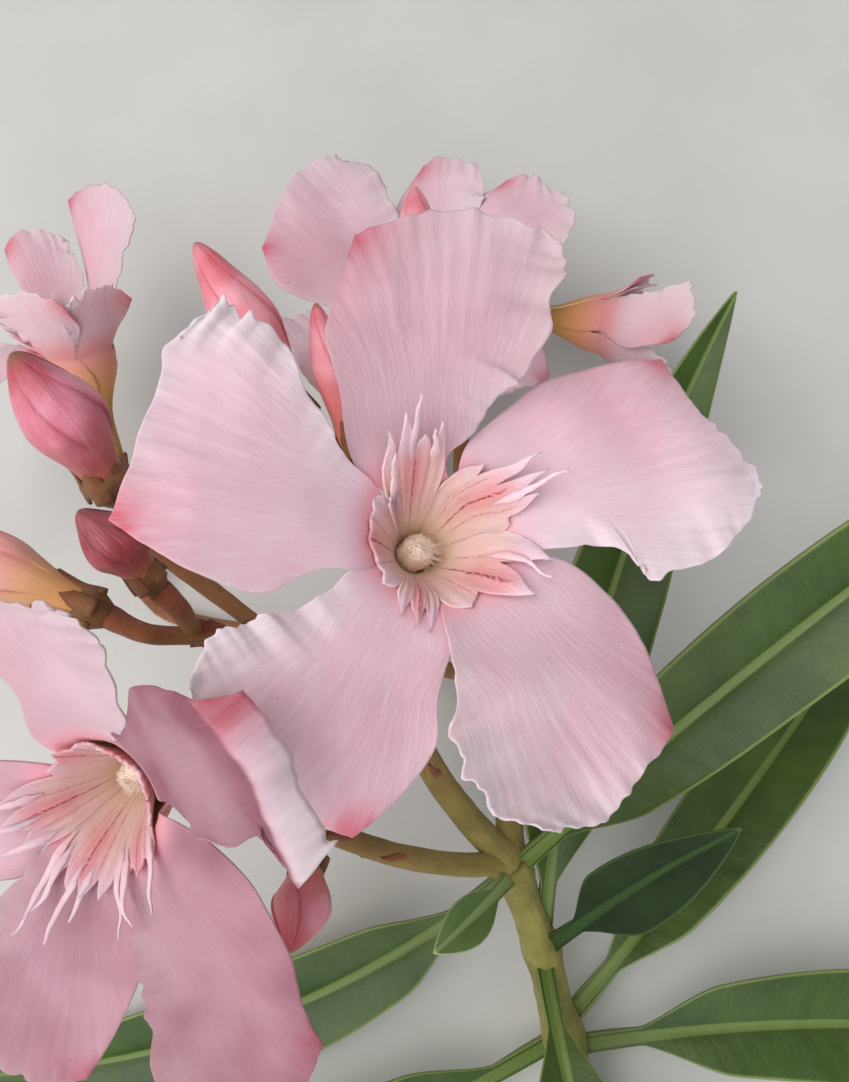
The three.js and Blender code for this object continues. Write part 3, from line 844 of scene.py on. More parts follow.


# In each bud's finish the last two colours are a painted highlight and the painted shade between its pleats.
BUD_FINISHES = {
    Ripeness.DARK: BudFinish(
        "dark bud",
        ramp_stops(
            (0.0, 164, 146, 70), (0.2, 176, 124, 64), (0.38, 164, 62, 58),
            (0.72, 152, 50, 64), (0.95, 124, 40, 48), (1.0, 116, 64, 44),
        ),
        painted_highlight=srgb(190, 92, 104),
        pleat_shade=srgb(96, 24, 38),
    ),
    Ripeness.CORAL: BudFinish(
        "coral bud",
        ramp_stops(
            (0.0, 170, 112, 66), (0.22, 214, 118, 88), (0.42, 232, 126, 128),
            (0.72, 240, 142, 156), (0.95, 220, 88, 100), (1.0, 176, 90, 62),
        ),
        painted_highlight=srgb(250, 178, 192),
        pleat_shade=srgb(190, 64, 82),
    ),
    Ripeness.SWOLLEN: BudFinish(
        "swollen bud",
        ramp_stops(
            (0.0, 160, 112, 62), (0.22, 184, 92, 72), (0.42, 212, 108, 122),
            (0.72, 222, 126, 148), (0.93, 184, 66, 82), (1.0, 136, 92, 54),
        ),
        painted_highlight=srgb(236, 160, 180),
        pleat_shade=srgb(150, 42, 60),
    ),
    Ripeness.OPENING: BudFinish(
        "opening bud",
        ramp_stops(
            (0.0, 190, 116, 62), (0.2, 222, 160, 88), (0.42, 236, 178, 128),
            (0.58, 236, 162, 158), (0.75, 236, 158, 168), (1.0, 222, 112, 126),
        ),
        painted_highlight=srgb(242, 184, 192),
        pleat_shade=srgb(186, 88, 94),
    ),
}


class Finishes:
    """All finishes of the shoot, each made once."""

    def __init__(self) -> None:
        """Makes each finish."""
        self.petal = PetalFinish(
            "petal face",
            shade=srgb(226, 184, 196),
            light=srgb(243, 214, 223),
            rose=srgb(233, 177, 191),
            # The dull pink of painted shade.
            painted_shade=srgb(136, 80, 94),
            ray=srgb(249, 230, 235),
            margin=srgb(232, 216, 218),
            blush=srgb(212, 92, 112),
            depths=ramp_stops(
                (0.0, 236, 172, 188), (0.3, 238, 160, 170), (0.5, 244, 200, 176),
                (0.75, 246, 220, 170), (1.0, 226, 200, 130),
            ),
        ).make()
        self.petal_under = PetalFinish(
            "petal underside",
            shade=srgb(230, 184, 194),
            light=srgb(240, 206, 214),
            rose=srgb(234, 180, 190),
            # The dull pink of painted shade.
            painted_shade=srgb(150, 92, 106),
            ray=srgb(244, 222, 226),
            margin=srgb(238, 218, 220),
            blush=srgb(212, 100, 116),
            depths=ramp_stops(
                (0.0, 230, 166, 176), (0.3, 232, 152, 150), (0.5, 230, 154, 122),
                (0.75, 218, 154, 90), (1.0, 180, 138, 70),
            ),
        ).make()
        self.fringe = FringeFinish(
            "fringe",
            ramp_stops(
                (0.0, 255, 222, 166), (0.3, 254, 208, 164), (0.5, 250, 196, 184),
                (0.75, 248, 200, 210), (1.0, 250, 212, 222),
            ),
            flush=srgb(244, 138, 140),
            # The dull pink of painted shade on the fringe.
            painted_shade=srgb(150, 88, 90),
            line=srgb(160, 34, 60),
        ).make()
        self.down = DownFinish("anther down", srgb(250, 216, 178), srgb(255, 238, 220)).make()
        self.buds = {look: finish.make() for look, finish in BUD_FINISHES.items()}
        self.stem = BarkFinish(
            "stem bark",
            low=(srgb(126, 126, 54), srgb(154, 154, 76)),
            high=(srgb(132, 124, 54), srgb(158, 148, 76)),
            speck=srgb(184, 180, 126),
        ).make()
        self.stalk = BarkFinish(
            "stalk skin",
            low=(srgb(146, 132, 66), srgb(168, 152, 80)),
            high=(srgb(128, 64, 44), srgb(164, 92, 60)),
            speck=srgb(176, 140, 98),
        ).make()
        self.sepal = BarkFinish(
            "sepal skin",
            low=(srgb(118, 78, 44), srgb(148, 108, 60)),
            high=(srgb(124, 62, 42), srgb(156, 88, 58)),
            speck=srgb(170, 134, 92),
        ).make()
        green = (srgb(49, 71, 17), srgb(69, 92, 28), srgb(104, 123, 56), srgb(130, 146, 80))
        back = (srgb(98, 130, 84), srgb(122, 152, 104), srgb(160, 180, 122), srgb(150, 172, 112))
        # Greens of the small new leaf, darkened in part as painted shade.
        young = (srgb(16, 36, 8), srgb(31, 55, 17), srgb(48, 76, 28), srgb(66, 92, 40))
        tender = (srgb(96, 124, 66), srgb(122, 148, 84), srgb(162, 184, 118), srgb(172, 190, 130))
        self.leaves = {
            Tone.GROWN: LeafFinish("leaf face", *green).make(),
            Tone.YOUNG: LeafFinish("young leaf face", *young).make(),
            Tone.TENDER: LeafFinish("tender leaf face", *tender).make(),
        }
        self.leaf_under = LeafFinish("leaf underside", *back, roughness=0.6, veins=0.05).make()


@dataclass(frozen=True)
class LobeShape:
    """A flat lobe seen from the front, as points [out from the throat's rim, across]. It leans clockwise.

    Args:
        plain: The anticlockwise side, from near the root outwards.
        end: From the pointed corner round to the shoulder.
        ruffled: The clockwise side, from near the root outwards.
    """

    plain: tuple[Flat, ...]
    end: tuple[Flat, ...]
    ruffled: tuple[Flat, ...]

    ROOT = 2.8

    def __post_init__(self) -> None:
        """Joins the sides up into four smooth lines."""
        low, high = (0.0, -self.ROOT), (0.0, self.ROOT)
        lines = (
            Outline((low, high)),
            Outline(tuple(reversed(self.end))),
            Outline((low, *self.ruffled, self.end[-1])),
            Outline((high, *self.plain, self.end[0])),
        )
        object.__setattr__(self, "lines", lines)

    def at(self, u: float, v: float) -> Vector:
        """The place at a share across, from the ruffled side, and a share along.

        Args:
            u: The share across.
            v: The share along.

        Returns:
            How far out and how far across the place is.
        """
        root, end, ruffled, plain = self.lines
        corners = (
            root.at(0) * ((1 - u) * (1 - v)) + root.at(1) * (u * (1 - v))
            + end.at(0) * ((1 - u) * v) + end.at(1) * (u * v)
        )
        rows = root.at(u) * (1 - v) + end.at(u) * v
        columns = ruffled.at(v) * (1 - u) + plain.at(v) * u
        return rows + columns - corners


LOBE_SHAPES = (
    LobeShape(
        plain=((5.4, 5.1), (9.6, 7.4), (15.9, 7.0)),
        end=((23.9, 5.0), (23.6, -1.2), (24.3, -4.3), (24.5, -7.9), (22.9, -9.9)),
        ruffled=((5.1, -4.4), (8.2, -7.6), (9.0, -10.2), (9.4, -12.0), (14.7, -12.6), (18.7, -12.0)),
    ),
    LobeShape(
        plain=((7.0, 5.9), (12.7, 6.9), (16.0, 5.8)),
        end=((22.4, 2.6), (23.2, -2.9), (22.2, -8.1), (18.9, -13.8)),
        ruffled=((2.9, -1.9), (7.2, -6.0), (8.5, -9.6), (15.6, -13.6)),
    ),
    LobeShape(
        plain=((5.9, 3.4), (10.1, 6.7), (15.4, 6.1), (19.0, 4.7)),
        end=((22.0, 2.9), (20.9, -2.1), (20.0, -6.7), (19.0, -10.4), (17.2, -12.3)),
        ruffled=((5.1, -3.7), (7.9, -7.5), (11.3, -12.3), (14.5, -13.2)),
    ),
    LobeShape(
        plain=((4.1, 3.1), (7.8, 6.5), (11.8, 7.0), (17.3, 6.1)),
        end=((21.1, 4.3), (22.0, -1.2), (18.0, -10.7)),
        ruffled=((5.4, -3.9), (8.0, -7.2), (11.2, -9.8), (14.6, -11.1), (17.0, -11.6)),
    ),
    LobeShape(
        plain=((4.4, 4.8), (8.0, 8.2), (12.2, 8.6), (16.5, 7.3)),
        end=((20.6, 4.8), (20.9, -0.6), (21.4, -5.3), (19.0, -9.3)),
        ruffled=((4.7, -4.4), (7.7, -8.5), (8.8, -11.3), (12.4, -12.6), (15.6, -11.9)),
    ),
)

FRONT_SHAPES = (
    *LOBE_SHAPES[:3],
    LobeShape(
        plain=((5.8, 4.6), (10.5, 7.8), (15.9, 7.2)),
        end=((19.9, 5.6), (20.8, -0.3), (19.4, -6.0), (16.6, -10.8)),
        ruffled=((6.0, -4.5), (9.7, -9.0), (12.7, -11.0)),
    ),
    LOBE_SHAPES[4],
)

LOW_LEFT_SHAPES = (
    LobeShape(
        plain=((4.3, 4.6), (9.3, 8.0), (15.5, 7.0), (20.0, 4.5)),
        end=((23.4, 2.8), (25.6, -1.9), (24.9, -7.8), (20.5, -11.8)),
        ruffled=((5.2, -2.6), (7.8, -4.9), (10.0, -6.7), (12.7, -7.9), (17.1, -10.8)),
    ),
    LobeShape(
        plain=((4.0, 2.6), (6.7, 2.6), (12.9, 4.0), (17.3, 3.2), (20.4, 1.2)),
        end=(
            (23.0, -1.8), (23.9, -3.8), (24.0, -5.6), (23.6, -7.4),
            (22.6, -9.4), (22.8, -12.0), (23.4, -13.4),
        ),
        ruffled=((5.7, -3.2), (10.2, -7.1), (17.2, -10.0), (20.2, -10.8), (20.8, -13.7)),
    ),
    LobeShape(
        plain=((4.0, 2.8), (8.0, 2.0), (13.0, 4.3)),
        end=((17.3, 8.7), (18.4, 2.0), (16.7, -4.0), (15.0, -10.0)),
        ruffled=((3.5, -4.5), (7.5, -9.5), (11.5, -12.0)),
    ),
    LOBE_SHAPES[3],
    LobeShape(
        plain=((4.9, 5.2), (9.2, 6.7), (16.5, 5.5)),
        end=((24.1, 2.9), (26.5, -3.0), (25.5, -7.0), (22.0, -11.0)),
        ruffled=((5.7, -4.4), (9.5, -8.5), (16.6, -11.5)),
    ),
)

BACK_SHAPES = (
    LobeShape(
        plain=((3.8, 2.6), (10.7, 4.4), (16.1, 5.5)),
        end=((20.5, 4.3), (23.5, 0.9), (22.8, -5.1)),
        ruffled=((5.0, -4.5), (9.0, -10.5), (16.8, -11.4)),
    ),
    LobeShape(
        plain=((5.4, 3.3), (11.5, 2.5), (17.0, 0.0)),
        end=((20.8, -3.1), (21.7, -7.2), (17.8, -12.1)),
        ruffled=((3.6, -3.9), (7.6, -8.0), (12.0, -11.8)),
    ),
    LobeShape(
        plain=((4.4, 5.3), (8.0, 11.4), (13.8, 13.1)),
        end=((19.6, 8.9), (22.7, -1.8), (22.4, -8.8), (19.7, -13.1)),
        ruffled=((6.6, -5.0), (9.6, -11.0), (14.7, -14.0)),
    ),
    *LOBE_SHAPES[3:],
)

LEFT_SHAPES = (
    LobeShape(
        plain=((3.6, 2.8), (6.5, 2.6), (14.7, 5.1)),
        end=((24.0, 9.2), (24.9, 3.8), (22.8, -1.5), (18.0, -5.1)),
        ruffled=((3.1, -2.0), (7.4, -2.2), (12.8, -4.4)),
    ),
    LobeShape(
        plain=((4.0, 2.8), (7.8, 3.4), (13.3, 4.3)),
        end=((17.9, 4.3), (18.6, -0.2), (16.1, -4.4)),
        ruffled=((3.2, -2.9), (9.7, -5.0)),
    ),
    LobeShape(
        plain=((4.0, 3.6), (9.0, 7.0), (14.0, 8.0)),
        end=((19.0, 6.0), (20.5, -1.0), (17.0, -9.0)),
        ruffled=((4.2, -4.0), (9.0, -9.5), (13.0, -10.8)),
    ),
    LobeShape(
        plain=((3.4, 3.6), (6.4, 5.2)),
        end=((9.6, 6.0), (11.6, 0.5), (9.8, -6.2)),
        ruffled=((3.4, -3.8), (6.4, -6.4)),
    ),
    LobeShape(
        plain=((3.4, 3.4), (6.0, 4.6)),
        end=((8.6, 5.4), (10.2, 0.8), (9.2, -4.2)),
        ruffled=((3.4, -3.2), (6.4, -4.4)),
    ),
)

HALF_OPEN_SHAPE = LobeShape(
    plain=((3.0, 3.2), (7.0, 4.5)),
    end=((12.5, 4.5), (14.0, 0.5), (11.5, -4.8)),
    ruffled=((3.1, -2.6), (7.0, -4.2)),
)

RIGHT_SHAPES = (
    LobeShape(
        plain=((3.0, 3.6), (8.8, 5.9)),
        end=((14.9, 5.9), (17.8, 1.1), (14.6, -4.8)),
        ruffled=((3.1, -2.4), (8.9, -3.6)),
    ),
    HALF_OPEN_SHAPE,
    HALF_OPEN_SHAPE,
    HALF_OPEN_SHAPE,
    LobeShape(
        plain=((2.5, 3.0), (5.0, 3.6)),
        end=((8.0, 3.5), (8.6, 0.5), (7.2, -2.8)),
        ruffled=((2.6, -2.6), (4.8, -3.0)),
    ),
)


@dataclass(frozen=True)
class Crease:
    """The end of a lobe, folded back behind it.

    Args:
        share: The share of the lobe's length where the fold is.
        drop: How far the end falls back, in millimetres.
    """

    share: float
    drop: float

    def fall(self, v: float) -> float:
        """How far a share along the lobe has fallen back."""
        past = max(0.0, v - self.share) / (1 - self.share)
        return self.drop * past ** 1.3

    def before(self, v: float) -> float:
        """1 on the standing part of the lobe, 0 on the folded end."""
        return 1 - smoothstep(v, self.share - 0.03, self.share + 0.03)


class Flare:
    """A strip that leaves the throat steeply, settles to a slope and then droops.

    Args:
        settle: The slope that it settles to, in degrees.
        droop: How much of it is lost 20 mm out, in degrees.
    """

    START = 62.0
    EASE = 3.0
    DROOP_REACH = 20.0
    STEP = 0.25
    REACH = 32.0

    def __init__(self, settle: float, droop: float) -> None:
        """Walks the strip from the rim outwards."""
        self.line = [(0.0, 0.0)]
        for i in range(int(self.REACH / self.STEP)):
            s = (i + 0.5) * self.STEP
            eased = (self.START - settle) * math.exp(-s / self.EASE)
            slope = math.radians(settle + eased - droop * (s / self.DROOP_REACH) ** 2)
            out, up = self.line[-1]
            self.line.append((out + math.cos(slope) * self.STEP, up + math.sin(slope) * self.STEP))

    def at(self, length: float) -> Flat:
        """How far out and up the strip has come after a length.

        Args:
            length: The length, below 0 for down the throat.

        Returns:
            How far out and how far up.
        """
        if length <= 0:
            slope = math.radians(self.START)
            return math.cos(slope) * length, math.sin(slope) * length
        place = min(length / self.STEP, len(self.line) - 1.001)
        i = int(place)
        (out, up), (out_next, up_next) = self.line[i], self.line[i + 1]
        return lerp(out, out_next, place - i), lerp(up, up_next, place - i)


@dataclass(frozen=True)
class Throat:
    """The tube of a bloom: narrow at its foot, opening as a funnel to the rim that the lobes leave.

    Args:
        size: The bloom's size, 1 for a full one.
        radius: The rim's radius.
        narrow: The radius of the narrow tube.
        funnel: How far below the rim the funnel starts.
        foot: How far below the rim the tube starts.
        sunk: How far the lobes start below the bloom's own origin.
    """

    size: float
    radius: float = 4.9
    narrow: float = 1.45
    funnel: float = 12.4
    foot: float = 22.6
    sunk: float = 1.2

    @property
    def rim(self) -> float:
        """The rim's radius in this bloom."""
        return self.radius * self.size

    def wall(self, below: float) -> float:
        """The radius at a depth below the rim."""
        share = min(max(1 - below / (self.funnel * self.size), 0.0), 1.0)
        return lerp(self.narrow, self.radius, math.sin(math.pi / 2 * share) ** 2.5) * self.size

    def depth_paint(self, out: float) -> float:
        """The painted depth at a length out from the rim, below 0 for down the tube.

        Args:
            out: The length.

        Returns:
            The depth, from 0 to 1.
        """
        if out >= 0:
            return 0.3 * (1 - smoothstep(out, 0.0, 5.5))
        return min(0.3 + 0.7 * (-out) / (9.0 * self.size), 1.0)


@dataclass(frozen=True)
class Ruffle:
    """How strongly a lobe's margins are crinkled, in millimetres.

    Args:
        reach: The share of the lobe's width that the ruffles take up.
        scallop: How far the outline goes in and out.
        wave: How far the margin goes up and down.
        pitch: The length of one ruffle.
    """

    reach: float = 0.34
    scallop: float = 0.8
    wave: float = 0.85
    pitch: float = 2.3


@dataclass
class Lobe:
    """One lobe of a bloom, with its fifth of the tube.

    Args:
        shape: Its flat outline.
        throat: The tube that it belongs to.
        turn: Where it stands round the bloom, in degrees.
        tube_turn: Where its fifth of the tube stands.
        sector: How far its fifth reaches to either side, in degrees.
        flare: The slope that it follows.
        seed: Makes its ruffles its own.
        crease: How its end is folded.
        painted_shade: How much painted shade dulls its pink, up to 1.
        ruffle: How strong they are.
    """

    shape: LobeShape
    throat: Throat
    turn: float
    tube_turn: float
    sector: Flat
    flare: Flare
    seed: float
    crease: Crease | None = None
    painted_shade: float = 0.0
    ruffle: Ruffle = Ruffle()

    TUBE_SHARE = 0.2
    WRAP = 9.0
    CUP = 0.9
    LEAN = 1.1
    TUCK = 0.16
    LENGTH = 24.0
    WIDTH = 20.0
    TIP_REACH = 0.26
    BLUSH_REACH = 2.3

    def spot(self, x: float, y: float) -> Spot:
        """The spot at a share across, from the plain side, and a share along from the tube's foot.

        Args:
            x: The share across.
            y: The share along.

        Returns:
            The spot.
        """
        u = 1 - x
        if y < self.TUBE_SHARE:
            return self.in_tube(u, y / self.TUBE_SHARE)
        return self.on_lobe(u, (y - self.TUBE_SHARE) / (1 - self.TUBE_SHARE))

    def in_tube(self, u: float, w: float) -> Spot:
        """The spot at a share across the lobe's fifth of the tube and a share up it.

        Args:
            u: The share across.
            w: The share up the tube.

        Returns:
            The spot.
        """
        throat = self.throat
        below = throat.foot * throat.size * (1 - w) ** 1.35
        climb = 1 - smoothstep(below, 0.0, 4.0)
        round_tube = math.radians(lerp(-self.sector[0], self.sector[1], u))
        on_rim = lerp(-LobeShape.ROOT, LobeShape.ROOT, u) / throat.radius
        angle = math.radians(lerp(self.tube_turn, self.turn, climb)) + lerp(round_tube, on_rim, climb)
        tuck = self.TUCK * (2 * u - 1) * (1 - climb)
        radius = throat.wall(below) + tuck
        place = polar(radius, angle, -throat.sunk - below)
        chart = (0.4 * (angle - math.radians(self.turn)), -0.1 * below)
        return Spot(place, chart, 1.0, {"throat": throat.depth_paint(-below)})

    def on_lobe(self, u: float, v: float) -> Spot:
        """The spot at a share across the lobe and a share along it.

        Args:
            u: The share across.
            v: The share along.

        Returns:
            The spot.
        """
        size = self.throat.size
        out, across = self.shape.at(u, v) * size
        grown = smoothstep(v, 0.08, 0.35)
        side = max(0.0, 1 - u / self.ruffle.reach) ** 1.3 * grown
        tip = max(0.0, 1 - (1 - v) / self.TIP_REACH) ** 1.3 * (1 - 0.65 * u)
        walked, crossed = v * self.LENGTH / self.ruffle.pitch, u * self.WIDTH / self.ruffle.pitch
        side *= 0.75 + 0.45 * ripple(walked / 2.6, self.seed, 3.0)
        ragged = ripple(walked, self.seed) + 0.4 * ripple(walked * 2.7, self.seed)
        across -= size * side**2 * self.ruffle.scallop * ragged
        out += size * tip**2 * self.ruffle.scallop * 0.8 * ripple(crossed * 1.5, self.seed, 4.0)
        swing = ripple(walked * 0.9, self.seed, 7.0) + 0.35 * ripple(walked * 2.3, self.seed)
        rise = side * self.ruffle.wave * swing
        rise += tip * self.ruffle.wave * 0.55 * ripple(crossed, self.seed, 11.0)
        ray = math.atan2(across, out + self.throat.rim)
        outer = smoothstep(out, 5.0, 20.0)
        rise += 0.09 * outer * ripple(ray * 34, out * 0.05, self.seed)
        rise += 0.7 * smoothstep(out, 3.0, 12.0) * ripple(out / 8, across / 8, self.seed)
        rise -= 1.1 * v * max(0.0, (u - 0.62) / 0.38) ** 2
        rise -= self.crease.fall(v) if self.crease else 0.0
        place = self.bent(out, across, rise)
        corner = self.shape.end[0]
        to_corner = math.hypot(out / size - corner[0], across / size - corner[1])
        flank = 0.3 * smoothstep(u, 0.93, 1.0) * smoothstep(v, 0.55, 0.95)
        blush = min(math.exp(-((to_corner / self.BLUSH_REACH) ** 2)) + flank, 1.0)
        paint = {
            "throat": self.throat.depth_paint(out),
            "blush": blush,
            "rose": smoothstep(u, 0.3, 1.0) * (0.35 + 0.65 * smoothstep(v, 0.2, 0.8)),
            # Painted shade over the lobe; a folded end past its crease gets none.
            "painted_shade": self.painted_shade * (self.crease.before(v) if self.crease else 1.0),
            "pale": min(1.2 * side + 0.9 * tip + 0.15 * smoothstep(u, 0.96, 1.0), 1.0) * (1 - blush),
        }
        thickness = 1 - 0.8 * max(side, tip, smoothstep(u, 0.85, 1.0))
        return Spot(place, (0.9 * ray, 0.1 * out), thickness, paint)

    def bent(self, out: float, across: float, rise: float) -> Vector:
        """A flat place of the lobe, bent round the throat and up its flare.

        Args:
            out: How far out the place is.
            across: How far anticlockwise it is.
            rise: How far above the lobe.

        Returns:
            The place on the bloom.
        """
        rim = self.throat.rim
        along, up = self.flare.at(out)
        spread = smoothstep(out, 0.0, self.WRAP)
        radius, angle = rim + along, across / rim
        cupped = self.CUP * (across / 10) ** 2 - self.LEAN * across / 10
        flat = Vector((
            lerp(radius * math.cos(angle), radius, spread),
            lerp(radius * math.sin(angle), across, spread),
            up - self.throat.sunk + rise + spread * cupped,
        ))
        flat.rotate(Matrix.Rotation(math.radians(self.turn), 3, "Z"))
        return flat


@dataclass(frozen=True)
class Scale:
    """One scale of the fringe at a bloom's throat: a flap that ends in pointed teeth.

    Args:
        sector: Where its two sides stand round the bloom, in degrees.
        teeth: How far out each tooth ends, in millimetres, from the clockwise side.
        flap: How far out the teeth part.
        edge: How far out the scale parts from its neighbours.
        settle: The slope that it settles to, in degrees.
        slender: How early a tooth thins: 1 for a blade, more for a thread.
        lean: How far it leans anticlockwise as it goes out, as a slope.
        curl: How far the teeth bend up, below 0 for down.
        inset: How far it stands inside the tube, in millimetres.
        threads: The thin teeth that lie on it, each with its column and how far out it ends.
    """

    sector: Flat
    teeth: tuple[float, ...]
    flap: float = 4.2
    edge: float = 0.8
    settle: float = 34.0
    slender: float = 1.0
    lean: float = 0.0
    curl: float = 0.0
    inset: float = 0.35
    threads: tuple[Flat, ...] = ()

    ROOT = -10.5
    FUNNEL = 5.5
    NARROW = 1.55
    THREAD_HALF = 0.34
    FAN = 0.3
    WAVER = 0.35
    COLUMNS = 12
    ROWS = 44
    THREAD_FACES = (6, 30)
    THREAD_FOOT = 1.5

    @property
    def turn(self) -> float:
        """Where its middle stands round the bloom, in degrees."""
        return sum(self.sector) / 2

    def length_at(self, place: float) -> tuple[float, float]:
        """The length of the scale along one of its columns.

        Args:
            place: The column's place, from -1 on the clockwise side to 1.

        Returns:
            The length, and how far out the column's tooth starts.
        """
        count = len(self.teeth)
        share = (place + 1) / 2 * count
        i = min(max(int(share), 0), count - 1)
        foot = lerp(self.flap, self.edge, abs(place) ** 3)
        off = abs(2 * (share - i) - 1)
        bulge = 1.7 / self.slender
        blade = 0.84 * (1 - off**max(bulge, 1.0)) ** self.slender + 0.16 * math.exp(-((off / 0.12) ** 2))
        return foot + max(self.teeth[i] - foot, 0.0) * blade, foot

    def stood(self, throat: Throat, flare: Flare, s: float, across: float, rise: float) -> Vector:
        """A place of the flat scale, set into the throat and bent out of it.

        Args:
            throat: The tube that it stands in.
            flare: The slope that it follows.
            s: How far out from the rim the place is, below 0 for down the tube, in a full bloom.
            across: How far anticlockwise it is.
            rise: How far above the scale it is.

        Returns:
            The place on the bloom.
        """
        across *= throat.size
        out, up = flare.at(max(s, 0.0) * throat.size)
        below = max(-s, 0.0) * throat.size
        opened = max(1 + min(s, 0.0) / self.FUNNEL, 0.0) ** 1.3
        radius = lerp(self.NARROW, throat.radius - self.inset - 0.12, opened) * throat.size + out
        spread = smoothstep(s, -1.0, 7.0)
        angle = across / throat.rim
        at = Vector((
            lerp(radius * math.cos(angle), radius, spread),
            lerp(radius * math.sin(angle), across, spread),
            up - throat.sunk - below + rise * throat.size,
        ))
        at.rotate(Matrix.Rotation(math.radians(self.turn), 3, "Z"))
        return at

    def strip_at(self, place: float, s: float) -> float:
        """How far anticlockwise a column of the scale is at a length along it, in a full bloom."""
        half = math.radians(self.sector[1] - self.sector[0]) / 2 * Throat.radius
        return half * place * (1 + self.FAN * smoothstep(s, 0.0, 9.0)) + self.lean * max(s, 0.0)

    def spot(self, throat: Throat, flare: Flare, x: float, y: float, seed: float) -> Spot:
        """The spot at a share across the scale, from its anticlockwise side, and a share along it.

        Args:
            throat: The tube that the scale stands in.
            flare: The slope that it follows.
            x: The share across.
            y: The share along.
            seed: Makes its teeth uneven.

        Returns:
            The spot.
        """
        place = 1 - 2 * x
        length, foot = self.length_at(place)
        s = lerp(self.ROOT, length, 1 - (1 - y) ** 1.15)
        past = max(s - foot, 0.0) / 5.0
        tooth_seed = seed + 3.1 * math.floor((place + 1) / 2 * len(self.teeth) - 1e-6)
        stray = self.WAVER * past * ripple(s / 2.2, tooth_seed)
        rise = past * (0.5 * ripple(s / 2.8, tooth_seed, 5.0) + self.curl * past)
        rise += 0.3 * smoothstep(s, -1.0, 3.0) * (1 - abs(place)) - 0.25 * smoothstep(s, 0.0, 3.0)
        rise += 0.1 * math.cos(6 * math.pi * place) * smoothstep(s, -4.0, 2.0)
        at = self.stood(throat, flare, s, self.strip_at(place, s) + stray, rise)
        return Spot(at, (0.3 * place, 0.1 * s), max(1 - 0.25 * past, 0.2), {"tooth": self.tooth_at(s)})

    def thread_spot(
        self, throat: Throat, flare: Flare, place: float, ends: Flat, x: float, y: float, seed: float,
    ) -> Spot:
        """The spot at a share across a thread and a share along it.

        Args:
            throat: The tube that the scale stands in.
            flare: The slope that it follows.
            place: The thread's column, from -1 to 1.
            ends: How far out it starts and ends.
            x: The share across.
            y: The share along.
            seed: Makes it wavy in its own way.

        Returns:
            The spot.
        """
        s = lerp(*ends, y)
        half = self.THREAD_HALF * smoothstep(y, 0.0, 0.3) * (1 - y) ** 0.55
        half = half * (1 + 0.25 * ripple(s * 1.3, seed)) + 0.04
        stray = 0.55 * smoothstep(y, 0.25, 1.0) * ripple(s / 2.6, seed, 2.0)
        rise = 0.05 + 0.3 * smoothstep(y, 0.0, 0.4) + 0.7 * y * ripple(s / 3.4, seed, 9.0)
        rise -= 0.12 * abs(2 * x - 1)
        across = self.strip_at(place, s) + stray + (1 - 2 * x) * half
        at = self.stood(throat, flare, s, across, rise)
        return Spot(at, (0.24, 0.1 * s), 1 - 0.4 * y, {"tooth": self.tooth_at(s)})

    def tooth_at(self, s: float) -> float:
        """The painted share of the way from the root to the tips.

        Args:
            s: How far out from the rim the place is.

        Returns:
            The share.
        """
        end = max(self.teeth) + 0.6
        waist = min(0.0, end - 4.6)
        return 0.5 * smoothstep(s, self.ROOT, waist) + 0.5 * smoothstep(s, waist, end)

    def add_to(self, work: Work, throat: Throat, seed: float) -> None:
        """Adds the scale to a mesh.

        Args:
            work: The mesh that gets it.
            throat: The tube that it stands in.
            seed: Makes its teeth uneven.
        """
        count = len(self.teeth)
        flare = Flare(self.settle, 0.0)
        work.add_sheet(self.COLUMNS * count, self.ROWS, lambda x, y: self.spot(throat, flare, x, y, seed))
        for i, (place, reach) in enumerate(self.threads):
            ends = (self.length_at(place)[1] - self.THREAD_FOOT, reach)
            own = seed + 5.3 * i
            work.add_sheet(
                *self.THREAD_FACES, lambda x, y: self.thread_spot(throat, flare, place, ends, x, y, own),
            )


def even_fringe(turns: Sequence[float], lifts: Sequence[float]) -> tuple[Scale, ...]:
    """A fringe with one scale before each lobe.

    Args:
        turns: Where each lobe stands, in degrees.
        lifts: The slope that each lobe settles to.

    Returns:
        The scales.
    """
    middle = [turn if turn >= turns[0] else turn + 360 for turn in turns]
    sides = [(a + b) / 2 for a, b in zip(middle, (*middle[1:], middle[0] + 360))]
    scales = []
    for i, lift in enumerate(lifts):
        low = sides[i - 1] - (360 if i == 0 else 0)
        scales.append(Scale((low, sides[i]), (6.4, 8.6, 8.2, 6.0), settle=max(lift + 12, 40.0)))
    return tuple(scales)


FRONT_FRINGE = (
    Scale((10, 80), (2.8, 5.8, 7.6, 8.2, 4.4), 3.4, 1.0, 40, lean=-0.35, threads=((-0.22, 8.4),)),
    Scale(
        (80, 141), (7.0, 6.0, 9.0, 7.6), 4.8, 1.2, 60,
        slender=1.1, inset=0.4, threads=((0.08, 9.8), (-0.55, 6.2)),
    ),
    Scale((131, 145), (2.2,), 1.4, 1.0, 74, inset=0.8, threads=((0.0, 7.6),)),
    Scale((141, 234), (2.0, 1.7, 2.1, 1.8, 2.4), 1.5, 1.2, 30, curl=-0.6, inset=0.3),
    Scale((234, 271), (4.4, 5.0, 4.9), 1.8, 1.2, 6, curl=-0.3, inset=0.45),
    Scale((271, 370), (3.0, 6.4, 6.0), 2.0, 1.2, 30, lean=0.05, threads=((0.45, 6.6),)),
)

